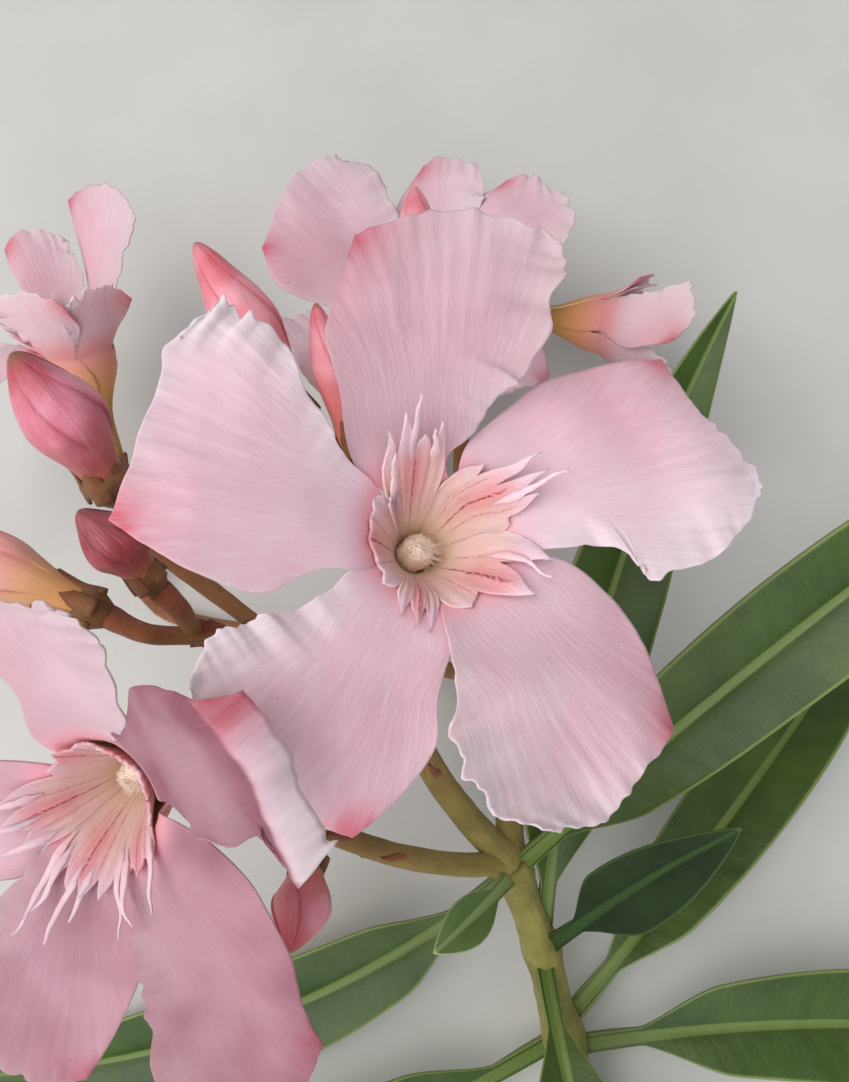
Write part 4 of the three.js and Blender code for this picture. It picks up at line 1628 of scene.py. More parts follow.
LOW_LEFT_FRINGE = (
    Scale((-28, 40), (1.4, 1.6), 1.2, 0.8, 70, inset=0.8),
    Scale((40, 95), (1.6, 1.8), 1.2, 0.8, 70, inset=0.8),
    Scale((95, 165), (2.2, 2.8, 2.2), 1.6, 0.8, 66, inset=0.6),
    Scale((165, 225), (5.6, 6.4, 5.4), 4.0, 1.2, 36, threads=((-0.5, 8.6), (0.1, 9.4), (0.7, 8.6))),
    Scale(
        (225, 284), (6.0, 5.4, 5.8, 5.2), 4.0, 1.4, 34,
        threads=((-0.9, 10.2), (-0.68, 8.4), (-0.1, 9.8), (0.25, 7.6)),
    ),
    Scale(
        (284, 332), (3.8, 4.2, 4.0), 2.8, 1.4, 36,
        inset=0.5, threads=((-0.95, 8.2), (-0.6, 8.0), (0.85, 8.0)),
    ),
)


@dataclass
class Calyx:
    """A short cup with five narrow pointed sepals, from its foot at the origin up along +Z.

    Args:
        size: Its size, 1 for the calyx of a full bloom.
        seed: Makes its sepals uneven.
    """

    size: float
    seed: int

    CUP = Outline((
        (0.0, 0.0), (1.15, 0.0), (1.75, 0.9), (2.3, 2.0), (2.35, 2.9), (1.9, 3.7), (1.2, 4.0), (0.0, 4.0),
    ))
    CUP_FACES = (30, 24)
    SEPALS = 5
    SEPAL_FACES = (6, 14)
    SEPAL_FOOT = 1.5
    SEPAL_LENGTH = 6.6
    SEPAL_HALF = 1.15
    HUG = 2.2

    def add_to(self, work: Work) -> None:
        """Adds the cup and its sepals to a mesh.

        Args:
            work: The mesh that gets them.
        """
        rng = random.Random(self.seed)
        work.add_skin(*self.CUP_FACES, self.cup_spot)
        for i in range(self.SEPALS):
            turn = 360 / self.SEPALS * i + rng.uniform(-7, 7)
            self.add_sepal(work, turn, rng.uniform(0.88, 1.08), rng.uniform(0.0, 0.9))

    def cup_spot(self, u: float, v: float) -> Spot:
        """The cup's spot at a share round and a share along its profile.

        Args:
            u: The share round.
            v: The share along.

        Returns:
            The spot.
        """
        radius, height = self.CUP.at(v) * self.size
        angle = 2 * math.pi * u
        x, y = math.cos(angle), math.sin(angle)
        radius *= 1 + 0.05 * math.cos(self.SEPALS * angle) + 0.04 * ripple(4 * x, 4 * y, height)
        place = Vector((radius * x, radius * y, height))
        return Spot(place, (0.25 * angle, 0.1 * height), 1.0, {"rise": 0.25 * v})

    def add_sepal(self, work: Work, turn: float, length: float, spread: float) -> None:
        """Adds one sepal that hugs the tube and bends a little outwards at its tip.

        Args:
            work: The mesh that gets it.
            turn: Where it stands round the cup, in degrees.
            length: Its length, 1 for a common one.
            spread: How far its tip bends out.
        """
        def spot(x: float, y: float) -> Spot:
            """The sepal's spot at a share across and a share along."""
            half = self.SEPAL_HALF * (1 - y) ** 0.75 * (0.75 + 0.5 * math.sin(math.pi * y) ** 2) + 0.03
            side = (1 - 2 * x) * half
            radius = self.HUG - 0.5 * smoothstep(y, 0.0, 0.5) + spread * y**2 + 0.22 * (1 - abs(2 * x - 1))
            angle = math.radians(turn) + side / self.HUG
            height = self.SEPAL_FOOT + self.SEPAL_LENGTH * length * y - 0.4 * y * (1 - abs(2 * x - 1))
            place = polar(radius, angle, height) * self.size
            return Spot(place, (0.1 * side, 0.1 * height), 1 - 0.6 * y, {"rise": 0.2 + 0.8 * y})

        work.add_sheet(*self.SEPAL_FACES, spot)


@dataclass
class Limb:
    """A tapering stalk or stem along a route.

    Args:
        route: Its middle line.
        radii: Its radius at the start and at the end.
        seed: Makes its relief its own.
        tone: Its painted colour at the start and at the end.
        knots: Shares of its length where leaves or stalks leave it and it is thicker.
        cut: Whether its start is a cut face.
    """

    route: Route
    radii: Flat
    seed: float
    tone: Flat = (0.0, 1.0)
    knots: tuple[float, ...] = ()
    cut: bool = False

    KNOT_REACH = 2.2

    def add_to(self, work: Work, around: int, rings: int) -> None:
        """Adds the limb's closed skin to a mesh.

        Args:
            work: The mesh that gets it.
            around: Faces round it.
            rings: Faces along it.
        """
        frames = self.route.frames(rings + 1)
        inner = rings - 2

        def spot(u: float, v: float) -> Spot:
            """The limb's spot at a share round and a share along."""
            row = round(v * rings)
            share = min(max((row - 1) / inner, 0.0), 1.0)
            centre, side, over = frames[round(share * rings)]
            angle = 2 * math.pi * u
            grip = 0.0 if row in (0, rings) else 1.0
            radius = self.radius_at(share, angle) * grip
            place = centre + (side * math.cos(angle) + over * math.sin(angle)) * radius
            place.z = max(place.z, 0.0)
            chart = (0.1 * angle * self.radii[0], 0.1 * share * self.route.length)
            paint = {"rise": lerp(*self.tone, share), "cut": 1.0 if self.cut and row < 2 else 0.0}
            return Spot(place, chart, 1.0, paint)

        work.add_skin(around, rings, spot)

    def radius_at(self, share: float, angle: float) -> float:
        """The radius with its relief at a share of the length and an angle round it.

        Args:
            share: The share of the length.
            angle: The angle.

        Returns:
            The radius.
        """
        radius = lerp(*self.radii, share)
        walked = share * self.route.length
        x, y = math.cos(angle), math.sin(angle)
        relief = 0.05 * math.cos(3 * angle + walked * 0.05)
        relief += 0.05 * ripple(3 * x, 3 * y, walked / 4 + self.seed)
        relief += 0.022 * ripple(9 * x, 9 * y, walked / 1.2 + self.seed)
        for knot in self.knots:
            away = (share - knot) * self.route.length / self.KNOT_REACH
            relief += 0.2 * math.exp(-(away**2)) * (1 + 0.3 * math.cos(3 * angle))
        return radius * (1 + relief)


BRACT_FACES = (6, 10)
BRACT_HALF = 0.85


def add_bract(work: Work, seat: Vector, way: Vector, over: Vector, length: float, gap: float) -> None:
    """Adds a small pointed bract beside a limb.

    Args:
        work: The mesh that gets it.
        seat: A point on the limb's middle line.
        way: The direction that the bract points to.
        over: The direction from the limb's middle to the bract.
        length: The bract's length.
        gap: The limb's radius there.
    """
    over = (over - way * over.dot(way)).normalized()
    side = way.cross(over)

    def spot(x: float, y: float) -> Spot:
        """The bract's spot at a share across and a share along."""
        half = BRACT_HALF * (1 - y) ** 0.7 * (0.8 + 0.5 * math.sin(math.pi * y)) + 0.03
        across = (2 * x - 1) * half
        stand = gap * 0.95 + 0.5 * y**2 - 0.3 * (2 * x - 1) ** 2
        place = seat + way * (length * (y - 0.15)) + side * across + over * stand
        return Spot(place, (0.1 * across, 0.1 * length * y), 1 - 0.6 * y, {"rise": 0.6 + 0.4 * y})

    work.add_sheet(*BRACT_FACES, spot)


@dataclass
class Bloom:
    """An open bloom: five lobes with their tube, the fringe at its throat, the anthers and the calyx.

    Args:
        name: Its name in the shoot.
        throat_at: Where the middle of the throat's rim lies.
        tilt: How far it is tilted from the cluster's common front, in degrees.
        towards: Which way it is tilted, on the cluster's face.
        size: Its size, 1 for a full bloom.
        turns: Where each lobe stands, in degrees.
        lifts: The slope that each lobe settles to, in degrees.
        droop: How much the lobes droop.
        fineness: Faces across and along a lobe.
        fringe: The scales at its throat, or none for an even fringe.
        seed: Makes it uneven in its own way.
        shapes: The outlines of its lobes.
        creases: The folded ends of some lobes.
        painted_shades: How much painted shade dulls the pink of each lobe.
        fringe_painted_shade: How much painted shade dulls its fringe.
    """

    name: str
    throat_at: Point
    tilt: float
    towards: float
    size: float
    turns: tuple[float, ...]
    lifts: tuple[float, ...]
    droop: float
    fineness: tuple[int, int]
    fringe: tuple[Scale, ...] | None
    seed: int
    shapes: tuple[LobeShape, ...] = LOBE_SHAPES
    creases: dict[int, Crease] = field(default_factory=dict)
    painted_shades: tuple[float, ...] = (0.0, 0.0, 0.0, 0.0, 0.0)
    fringe_painted_shade: float = 0.0

    CLUSTER_LEAN = 14.0
    TUBE_LENGTH = 25.0
    OVERLAP = 6.0
    PETAL = Shell(0.32, 0.35, True)
    SCALE = Shell(0.26, 0.4)
    SEPAL = Shell(0.32, 0.4)
    CONE = Outline((
        (0.0, -12.4), (0.9, -12.0), (1.25, -10.2), (1.4, -8.2), (1.42, -6.8), (1.35, -5.4), (1.15, -4.4),
        (0.8, -3.8), (0.0, -3.4),
    ))
    CONE_FACES = (40, 30)
    HAIRS = 420
    HAIR_LENGTHS = (0.28, 0.55)
    HAIR_HALF = 0.04
    HAIR_FACES = (3, 4)
    TUFT = 60
    TUFT_LENGTHS = (0.8, 1.6)
    TUFT_TURN = (-38, 22)
    STALK_RADII = (1.1, 1.25)

    @property
    def pose(self) -> Matrix:
        """The place and turn of the bloom, whose throat looks along its own +Z.

        Returns:
            The matrix.
        """
        t = math.radians(self.towards)
        hinge = Vector((-math.sin(t), math.cos(t), 0.0))
        lean = Matrix.Rotation(math.radians(self.CLUSTER_LEAN), 4, "X")
        tilt = Matrix.Rotation(math.radians(self.tilt), 4, hinge)
        return Matrix.Translation(self.throat_at) @ lean @ tilt

    @property
    def axis(self) -> Vector:
        """The direction that the bloom looks to."""
        return self.pose.to_3x3() @ UP

    @property
    def foot(self) -> Vector:
        """The foot of the bloom's calyx."""
        return Vector(self.throat_at) - self.axis * (self.TUBE_LENGTH * self.size)

    def lobes(self) -> list[Lobe]:
        """The five lobes, each with its share of the tube.

        Returns:
            The lobes.
        """
        throat = Throat(self.size)
        fifth = 360 / len(self.turns)
        even = sum(turn - fifth * i for i, turn in enumerate(self.turns)) / len(self.turns)
        half = fifth / 2 + self.OVERLAP
        found = []
        for i, turn in enumerate(self.turns):
            flare = Flare(self.lifts[i], self.droop)
            crease = self.creases.get(i)
            tube_turn = even + fifth * i
            seed = self.seed + 3.7 * i
            sector = (half, half)
            found.append(
                Lobe(self.shapes[i], throat, turn, tube_turn, sector, flare, seed, crease, self.painted_shades[i]),
            )
        return found

    def build(self, finishes: Finishes) -> None:
        """Makes all pieces of the bloom.

        Args:
            finishes: The shoot's finishes.
        """
        node = f"bloom_{self.name}"
        work = Work("throat", "blush", "rose", "painted_shade", "pale")
        for lobe in self.lobes():
            work.add_sheet(*self.fineness, lobe.spot)
        work.turn(self.pose)
        faces = (finishes.petal, finishes.petal_under)
        work.finish(f"{node}_petals", faces, Slot.PETAL, [node], self.PETAL)
        work = Work("tooth", "painted_shade")
        rng = random.Random(self.seed)
        for scale in self.fringe or even_fringe(self.turns, self.lifts):
            scale.add_to(work, Throat(self.size), rng.uniform(0, 90))
        # Painted shade, the same all over the fringe.
        work.fill("painted_shade", self.fringe_painted_shade)
        work.turn(self.pose)
        work.finish(f"{node}_fringe", (finishes.fringe,), Slot.PETAL, [node], self.SCALE)
        work = Work("tip")
        self.add_anthers(work, rng)
        work.turn(self.pose)
        work.finish(f"{node}_anthers", (finishes.down,), Slot.PETAL, [node])
        self.build_calyx(node, finishes)

    def add_anthers(self, work: Work, rng: random.Random) -> None:
        """Adds the cone of anthers and the down that covers it.

        Args:
            work: The mesh that gets them.
            rng: Makes the down uneven.
        """
        def cone(u: float, v: float) -> Spot:
            """The cone's spot at a share round and a share along."""
            radius, height = self.CONE.at(v) * self.size
            angle = 2 * math.pi * u
            ridge = 0.14 * abs(math.cos(2.5 * angle + height * 0.25))
            radius *= 1 + ridge + 0.08 * ripple(angle * 3, height)
            place = polar(radius, angle, height)
            return Spot(place, (angle, height), 1.0, {"tip": smoothstep(v, 0.3, 0.9) * 0.6})

        work.add_skin(*self.CONE_FACES, cone)
        for _ in range(self.HAIRS):
            self.add_hair(work, rng, rng.uniform(0, 2 * math.pi), rng.uniform(*self.HAIR_LENGTHS))
        for _ in range(self.TUFT):
            turn = math.radians(rng.gauss(*self.TUFT_TURN))
            self.add_hair(work, rng, turn, rng.uniform(*self.TUFT_LENGTHS))

    def add_hair(self, work: Work, rng: random.Random, angle: float, length: float) -> None:
        """Adds one hair to the upper half of the cone.

        Args:
            work: The mesh that gets it.
            rng: Makes it grow in its own way.
            angle: Where it stands round the cone.
            length: Its length, in a full bloom.
        """
        share = rng.uniform(0.5, 0.99) ** 0.8
        radius, height = self.CONE.at(share) * self.size
        outward = Vector((math.cos(angle), math.sin(angle), 0.0))
        seat = outward * radius + UP * height
        way = (outward * rng.uniform(0.3, 0.9) + UP * rng.uniform(0.4, 1.0)).normalized()
        bend = way.cross(UP).normalized() * rng.uniform(-0.35, 0.35)
        length *= self.size
        side = way.orthogonal().normalized()
        over = way.cross(side)

        def spot(u: float, v: float) -> Spot:
            """The hair's spot at a share round and a share along."""
            around = 2 * math.pi * u
            thick = self.HAIR_HALF * (0.0 if v in (0.0, 1.0) else 1.15 - v)
            place = seat + way * (length * v) + bend * (length * v * v)
            place = place + (side * math.cos(around) + over * math.sin(around)) * thick
            return Spot(place, (u, v), 1.0, {"tip": 0.4 + 0.6 * v})

        work.add_skin(*self.HAIR_FACES, spot)

    def build_calyx(self, node: str, finishes: Finishes) -> None:
        """Makes the calyx at the foot of the tube.

        Args:
            node: The bloom's solid.
            finishes: The shoot's finishes.
        """
        work = Work("rise", "cut")
        Calyx(self.size, self.seed).add_to(work)
        work.turn(self.pose @ Matrix.Translation((0.0, 0.0, -self.TUBE_LENGTH * self.size)))
        work.finish(f"{node}_calyx", (finishes.sepal,), Slot.STALK, [node], self.SEPAL)


def looking_along(way: Vector) -> Matrix:
    """The turn that points local +Z along a direction and keeps local +Y near the shoot's +Y.

    Args:
        way: The direction.

    Returns:
        The turn.
    """
    z = way.normalized()
    x = Vector((0.0, 1.0, 0.0)).cross(z).normalized()
    return Matrix((x, z.cross(x), z)).transposed()


@dataclass
class Bud:
    """A furled bud: five pleats wound round a spindle, on its calyx.

    Args:
        name: Its name in the shoot.
        foot: The foot of its calyx.
        tip: Its tip.
        girth: Its width, 1 for a full bud.
        seed: Makes it uneven in its own way.
        look: How far on it is.
    """

    name: str
    foot: Point
    tip: Point
    girth: float
    seed: int
    look: Ripeness = Ripeness.CORAL

    PLEATS = 5
    AROUND = 90
    ALONG = 64
    TWIST = 95.0
    STEP = 0.08
    SQUEEZE = 0.985
    SWELL = 3.3
    CALYX = 0.95
    STALK_RADII = (0.95, 1.05)
    SEPAL = Shell(0.28, 0.4)
    OUTLINE = Outline((
        (0.0, 0.05), (0.42, 0.06), (0.5, 0.16), (0.58, 0.28), (0.8, 0.42), (1.0, 0.56), (0.9, 0.7),
        (0.6, 0.84), (0.3, 0.95), (0.12, 0.99), (0.0, 1.0),
    ))

    @property
    def axis(self) -> Vector:
        """The direction from the foot to the tip."""
        return (Vector(self.tip) - Vector(self.foot)).normalized()

    def spot(self, u: float, v: float) -> Spot:
        """The spot at a share round the spindle and a share along its outline.

        Args:
            u: The share round.
            v: The share along.

        Returns:
            The spot.
        """
        length = (Vector(self.tip) - Vector(self.foot)).length
        wide, high = self.OUTLINE.at(v)
        high = min(max(high, 0.0), 1.0)
        pleat = math.floor(u * self.PLEATS + 1e-6)
        phase = u * self.PLEATS - pleat
        last = 1 - self.PLEATS / self.AROUND
        if phase <= last + 1e-6:
            squeezed = phase / last * self.SQUEEZE
        else:
            squeezed = lerp(self.SQUEEZE, 1.0, (phase - last) / (1 - last))
        angle = 2 * math.pi * (pleat + squeezed) / self.PLEATS - math.radians(self.TWIST) * high
        furled = smoothstep(high, 0.3, 0.5)
        loose = 1.0 + (1.6 if self.look is Ripeness.OPENING else 0.35) * smoothstep(high, 0.75, 1.0)
        step = self.STEP * furled * (0.5 - phase) * loose
        wobble = 0.03 * ripple(2 * math.cos(angle), 2 * math.sin(angle), high * 6 + self.seed)
        radius = self.SWELL * self.girth * wide * (1 + step + wobble)
        bend = 0.5 * self.girth * math.sin(math.pi * high) ** 2
        place = Vector((radius * math.cos(angle) + bend, radius * math.sin(angle), high * length))
        # Painted shade at the step between pleats: full where a pleat tucks under the next, fainter on the
        # overlapping edge.
        pleat_shade = max(math.exp(-((1 - squeezed) / 0.07)), 0.45 * math.exp(-(squeezed / 0.03)))
        paint = {"rise": high, "pleat_shade": pleat_shade * furled}
        return Spot(place, (0.16 * angle, 0.1 * high * length), 1.0, paint)

    def build(self, finishes: Finishes) -> None:
        """Makes the bud and its calyx.

        Args:
            finishes: The shoot's finishes.
        """
        node = f"bud_{self.name}"
        seat = Matrix.Translation(self.foot) @ looking_along(self.axis).to_4x4()
        work = Work("rise", "pleat_shade")
        work.add_skin(self.AROUND, self.ALONG, self.spot)
        work.turn(seat)
        work.finish(f"{node}_petals", (finishes.buds[self.look],), Slot.BUD, [node])
        work = Work("rise", "cut")
        Calyx(self.CALYX * self.girth, self.seed).add_to(work)
        work.turn(seat)
        work.finish(f"{node}_calyx", (finishes.sepal,), Slot.STALK, [node], self.SEPAL)


@dataclass
class Leaf:
    """A narrow leathery leaf with a grooved rib, folded up a little along it.

    Args:
        name: Its name in the shoot.
        share: Where it leaves the stem, as a share of its length.
        azimuth: The heading of its foot, in degrees.
        sweep: How far the heading turns up to the tip.
        rise: The rib's rise at the foot.
        fall: The rib's rise at the tip.
        length: Its length.
        width: Its greatest width.
        roll: How far it is rolled about its rib, in degrees.
        tone: Which kind of leaf it is.
        seed: Makes it uneven in its own way.
    """

    name: str
    share: float
    azimuth: float
    sweep: float
    rise: float
    fall: float
    length: float
    width: float
    roll: float
    tone: Tone = Tone.GROWN
    seed: float = 0.0

    FULL_LENGTH = 104.0
    THICKNESS = 1.15
    LEAST = 0.5
    PETIOLE = 7.0
    PETIOLE_HALF = 1.1
    TIP_HALF = 0.35
    FOLD = 16.0
    CLEAR = 0.16
    STEPS = 72
    COLUMNS = 22
    ROWS_PER_MM = 1.6
    LEAST_ROWS = 40

    def way(self, share: float) -> Vector:
        """The rib's direction at a share of its length."""
        return heading(self.azimuth + self.sweep * share, lerp(self.rise, self.fall, share))

    def rib_line(self, start: Vector) -> list[Vector]:
        """The rib's points from where it leaves the stem.

        Args:
            start: Where it leaves the stem.

        Returns:
            The points.
        """
        line = [start.copy()]
        for i in range(self.STEPS):
            line.append(line[-1] + self.way((i + 0.5) / self.STEPS) * (self.length / self.STEPS))
        return line

    def half_at(self, v: float) -> float:
        """Half the blade's width at a share of its length.

        Args:
            v: The share of its length.

        Returns:
            Half the width.
        """
        blade = self.width / 2 * math.sin(math.pi * v**0.9) ** 0.85 if 0 < v < 1 else 0.0
        base = lerp(self.PETIOLE_HALF, self.TIP_HALF, v) * (1 - smoothstep(v, 0.93, 1.0) * 0.85)
        return max(base, blade * smoothstep(v * self.length, self.PETIOLE * 0.5, self.PETIOLE * 3))

    def build(self, start: Vector, finishes: Finishes) -> None:
        """Makes the leaf.

        Args:
            start: Where it leaves the stem.
            finishes: The shoot's finishes.
        """
        rib = self.rib_line(start)
        full = max(self.THICKNESS * self.length / self.FULL_LENGTH, self.LEAST)
        fold, tilt = math.radians(self.FOLD), math.radians(self.roll)

        def spot(u: float, v: float) -> Spot:
            """The blade's spot at a share across and a share along."""
            i = min(int(v * self.STEPS), self.STEPS - 1)
            centre = rib[i].lerp(rib[i + 1], v * self.STEPS - i)
            flat = heading(self.azimuth + self.sweep * v - 90, 0)
            up = flat.cross(self.way(v))
            right = flat * math.cos(tilt) + up * math.sin(tilt)
            face = up * math.cos(tilt) - flat * math.sin(tilt)
            half = self.half_at(v)
            side = 2 * u - 1
            across = side * half
            walked = v * self.length
            sway = ripple(walked / 11, self.seed, math.copysign(3, side))
            wave = 0.35 * side**2 * smoothstep(half, 1.5, 5.0) * sway
            groove = -0.3 * math.exp(-((across / 0.8) ** 2)) * smoothstep(half, 1.5, 4.0)
            pleats = 0.05 * smoothstep(half, 1.5, 4.0) * ripple(walked / 1.5 - abs(across) * 0.3, self.seed)
            lift = abs(across) * math.sin(fold) + wave + groove + pleats + full * 0.1
            place = centre + right * (across * math.cos(fold)) + face * lift
            stout = 1 - smoothstep(walked, self.PETIOLE * 0.6, self.PETIOLE * 2)
            thickness = max(stout, math.exp(-((across / 0.9) ** 2)) * (1 - 0.6 * v), 0.12)
            place.z = max(place.z, full * thickness + self.CLEAR)
            paint = {"edge": abs(side), "rib": 0.1 * lerp(0.75, 0.18, v)}
            return Spot(place, (0.1 * across, 0.1 * walked), thickness, paint)

        node = f"leaf_{self.name}"
        work = Work("edge", "rib")
        rows = max(int(self.length * self.ROWS_PER_MM), self.LEAST_ROWS)
        work.add_sheet(self.COLUMNS, rows, spot)
        faces = (finishes.leaves[self.tone], finishes.leaf_under)
        work.finish(f"{node}_blade", faces, Slot.LEAF, [node], Shell(full, 0.3, True))


@dataclass(frozen=True)
class Stalk:
    """Where a bloom or bud hangs.

    Args:
        parent: The limb that it grows from.
        share: Where it leaves that limb, as a share of its length.
        bend: How far before its end it turns in to the flower's axis.
        by: A place that it goes by, where it has to go round another flower's foot.
    """

    parent: str
    share: float
    bend: float = 0.3
    by: Point | None = None


FORK = (10.7, -9.6, 15.7)
SECOND_FORK = (-2.2, 8.0, 29.0)
ENDS = (0.0, 1.0)
STEM = Limb(
    Route(((25.5, -84, 2.6), (23, -62, 2.7), (20.5, -45, 3.7), (17.6, -30, 6.3), (14.6, -19, 9.6), FORK)),
    (2.6, 2.1), 1.0, knots=(0.655, 0.69, 0.82, 0.975), cut=True,
)
PEDUNCLES = {
    "front": Limb(
        Route((FORK, (6, -5, 18.5), (1, 1.5, 23.5), (-3.4, 10.4, 31))),
        (1.85, 1.5), 9.0, (0.0, 0.55), ENDS,
    ),
    "lower": Limb(
        Route((FORK, (4.5, -9.6, 20), (-3.5, -8, 25.5), (-12, -4.5, 34.5))),
        (1.5, 1.2), 14.0, (0.0, 0.6), ENDS,
    ),
    "back": Limb(
        Route((FORK, (10.5, 2, 12.8), (6.5, 20, 9), (0.5, 37, 8.5))),
        (1.8, 1.4), 19.0, (0.0, 0.5), ENDS,
    ),
    "left": Limb(
        Route((SECOND_FORK, (-9, 13, 34), (-17.5, 14.6, 39), (-24.1, 15.4, 42.5))),
        (1.4, 1.2), 24.0, (0.5, 1.0), ENDS,
    ),
    "upper": Limb(
        Route((SECOND_FORK, (-3.6, 16, 31.5), (-5.4, 23.5, 33), (-6.4, 28, 33.8))),
        (1.35, 1.1), 29.0, (0.5, 1.0), ENDS,
    ),
}


@dataclass
class Branching:
    """The stem, the forked stalks of the cluster and the small stalks under blooms and buds.

    Args:
        finishes: The shoot's finishes.
        stem: The stem.
        peduncles: The forked stalks by name.
        bract_shares: The shares of a forked stalk's length where bracts stand.
        bract_length: The length of the longest bract.
    """

    finishes: Finishes
    stem: Limb
    peduncles: dict[str, Limb]
    bract_shares: tuple[float, ...] = (0.55, 0.57, 0.84, 0.87, 0.9, 0.93, 0.95, 0.97)
    bract_length: float = 4.6

    STEM_FACES = (48, 170)
    PEDUNCLE_FACES = (30, 70)
    STALK_FACES = (24, 44)
    SEPAL = Shell(0.3, 0.4)

    def build(self) -> None:
        """Makes the stem and the forked stalks."""
        work = Work("rise", "cut")
        self.stem.add_to(work, *self.STEM_FACES)
        work.finish("stem_bark", (self.finishes.stem,), Slot.STEM, ["stem"])
        for number, (name, limb) in enumerate(self.peduncles.items()):
            work = Work("rise", "cut")
            limb.add_to(work, *self.PEDUNCLE_FACES)
            work.finish(f"peduncle_{name}_skin", (self.finishes.stalk,), Slot.STALK, [f"peduncle_{name}"])
            self.build_bracts(name, number)

    def build_bracts(self, name: str, number: int) -> None:
        """Makes the bracts along a forked stalk and at its end.

        Args:
            name: The stalk's name.
            number: Makes its bracts uneven.
        """
        limb = self.peduncles[name]
        work = Work("rise", "cut")
        rng = random.Random(70 + number)
        for share in self.bract_shares:
            way = limb.route.way(share)
            over = way.orthogonal()
            over.rotate(Matrix.Rotation(rng.uniform(0, 2 * math.pi), 3, way))
            length = self.bract_length * rng.uniform(0.65, 1.0)
            add_bract(work, limb.route.at(share), way, over, length, lerp(*limb.radii, share))
        node = f"peduncle_{name}"
        work.finish(f"{node}_bracts", (self.finishes.sepal,), Slot.STALK, [node], self.SEPAL)

    def add_stalk(
        self, name: str, stalk: Stalk, foot: Vector, axis: Vector, radii: Flat, seed: float,
    ) -> None:
        """Makes the stalk from a limb to the foot of a flower or bud.

        Args:
            name: The solid that it stands for.
            stalk: Where it leaves its limb.
            foot: Where it ends.
            axis: The direction that it arrives in.
            radii: Its radius at the start and at the end.
            seed: Makes its relief its own.
        """
        start = self.peduncles[stalk.parent].route.at(stalk.share)
        reach = (foot - start).length
        before = foot - axis * (reach * stalk.bend)
        near = Vector(stalk.by) if stalk.by else start.lerp(before, 0.45)
        limb = Limb(Route((start, near, before, foot + axis * 0.2)), radii, seed, (0.55, 1.0), (1.0,))
        work = Work("rise", "cut")
        limb.add_to(work, *self.STALK_FACES)
        work.finish(f"{name}_skin", (self.finishes.stalk,), Slot.STALK, [name])


# The painted shade of each lobe and of the fringe dulls a bloom's pink where it lies in shade.
BLOOMS = (
    (
        Bloom(
            "front", (0.9, 19.8, 66.3), 24, 42, 1.0,
            turns=(28, 100, 176, 240, 308), lifts=(8, 14, 14, -6, 8), droop=8, fineness=(60, 104),
            fringe=FRONT_FRINGE, seed=11, shapes=FRONT_SHAPES, painted_shades=(0.12, 0.42, 0.08, 0.0, 0.2),
        ),
        Stalk("front", 1.0),
    ),
    (
        Bloom(
            "low_left", (-27.1, -1.3, 59.3), 24, 216, 0.976,
            turns=(-46, 42, 106, 190, 256), lifts=(10, 32, 20, 8, 8), droop=8, fineness=(56, 96),
            fringe=LOW_LEFT_FRINGE, seed=23, shapes=LOW_LEFT_SHAPES, creases={1: Crease(0.9, 3.5)},
            painted_shades=(0.88, 1.0, 0.42, 0.42, 0.74), fringe_painted_shade=0.2,
        ),
        Stalk("left", 0.4),
    ),
    (
        Bloom(
            "left", (-45.6, 56.2, 26.6), 65, 99, 0.9,
            turns=(75, 125, 205, 262, 325), lifts=(60, 64, -35, 70, 64), droop=6, fineness=(40, 64),
            fringe=None, seed=37, shapes=LEFT_SHAPES, painted_shades=(0.26, 0.26, 0.26, 0.1, 0.1), fringe_painted_shade=0.15,
        ),
        Stalk("back", 0.5),
    ),
    (
        Bloom(
            "back", (0.1, 60.8, 29.1), 36, 84, 0.88,
            turns=(50, 100, 150, 238, 300), lifts=(20, 14, 20, 2, 8), droop=8, fineness=(40, 72),
            fringe=None, seed=41, shapes=BACK_SHAPES, painted_shades=(0.26, 0.28, 0.2, 0.2, 0.2), fringe_painted_shade=0.15,
        ),
        Stalk("back", 1.0, 0.22),
    ),
    (
        Bloom(
            "right", (26.6, 63.1, 17.3), 76, -10, 0.8,
            turns=(165, 237, 309, 381, 453), lifts=(66, 74, 74, 76, 60), droop=8, fineness=(40, 56),
            fringe=None, seed=53, shapes=RIGHT_SHAPES, painted_shades=(0.16,) * 5, fringe_painted_shade=0.15,
        ),
        Stalk("back", 0.82, 0.12, (5.5, 50.0, 5.5)),
    ),
)

BUDS = (
    (Bud("upper", (-12.9, 38.8, 40.1), (-23.6, 54, 54.2), 1.0, 3), Stalk("upper", 1.0)),
    (Bud("large", (-31.4, 28.5, 46.8), (-38.2, 38.7, 60.7), 1.2, 4, Ripeness.SWOLLEN), Stalk("left", 0.62)),
    (Bud("tip", (-25.8, 18.3, 50.5), (-31.9, 24.4, 57.6), 0.85, 5, Ripeness.DARK), Stalk("left", 1.0)),
    (Bud("inner", (-8.3, 35.6, 37.2), (-12, 51.3, 46.3), 0.72, 6), Stalk("upper", 0.72)),
    (Bud("low", (-11.9, -6.4, 38), (-12.9, -15.5, 45.1), 0.9, 7), Stalk("lower", 1.0)),
    (Bud("top", (0.1, 50, 45), (-1.1, 67.3, 44.1), 0.75, 8), Stalk("upper", 0.42)),
    (Bud("opening", (-31.7, 16.2, 46.8), (-50, 24.2, 51.6), 1.0, 9, Ripeness.OPENING), Stalk("left", 0.86)),
)

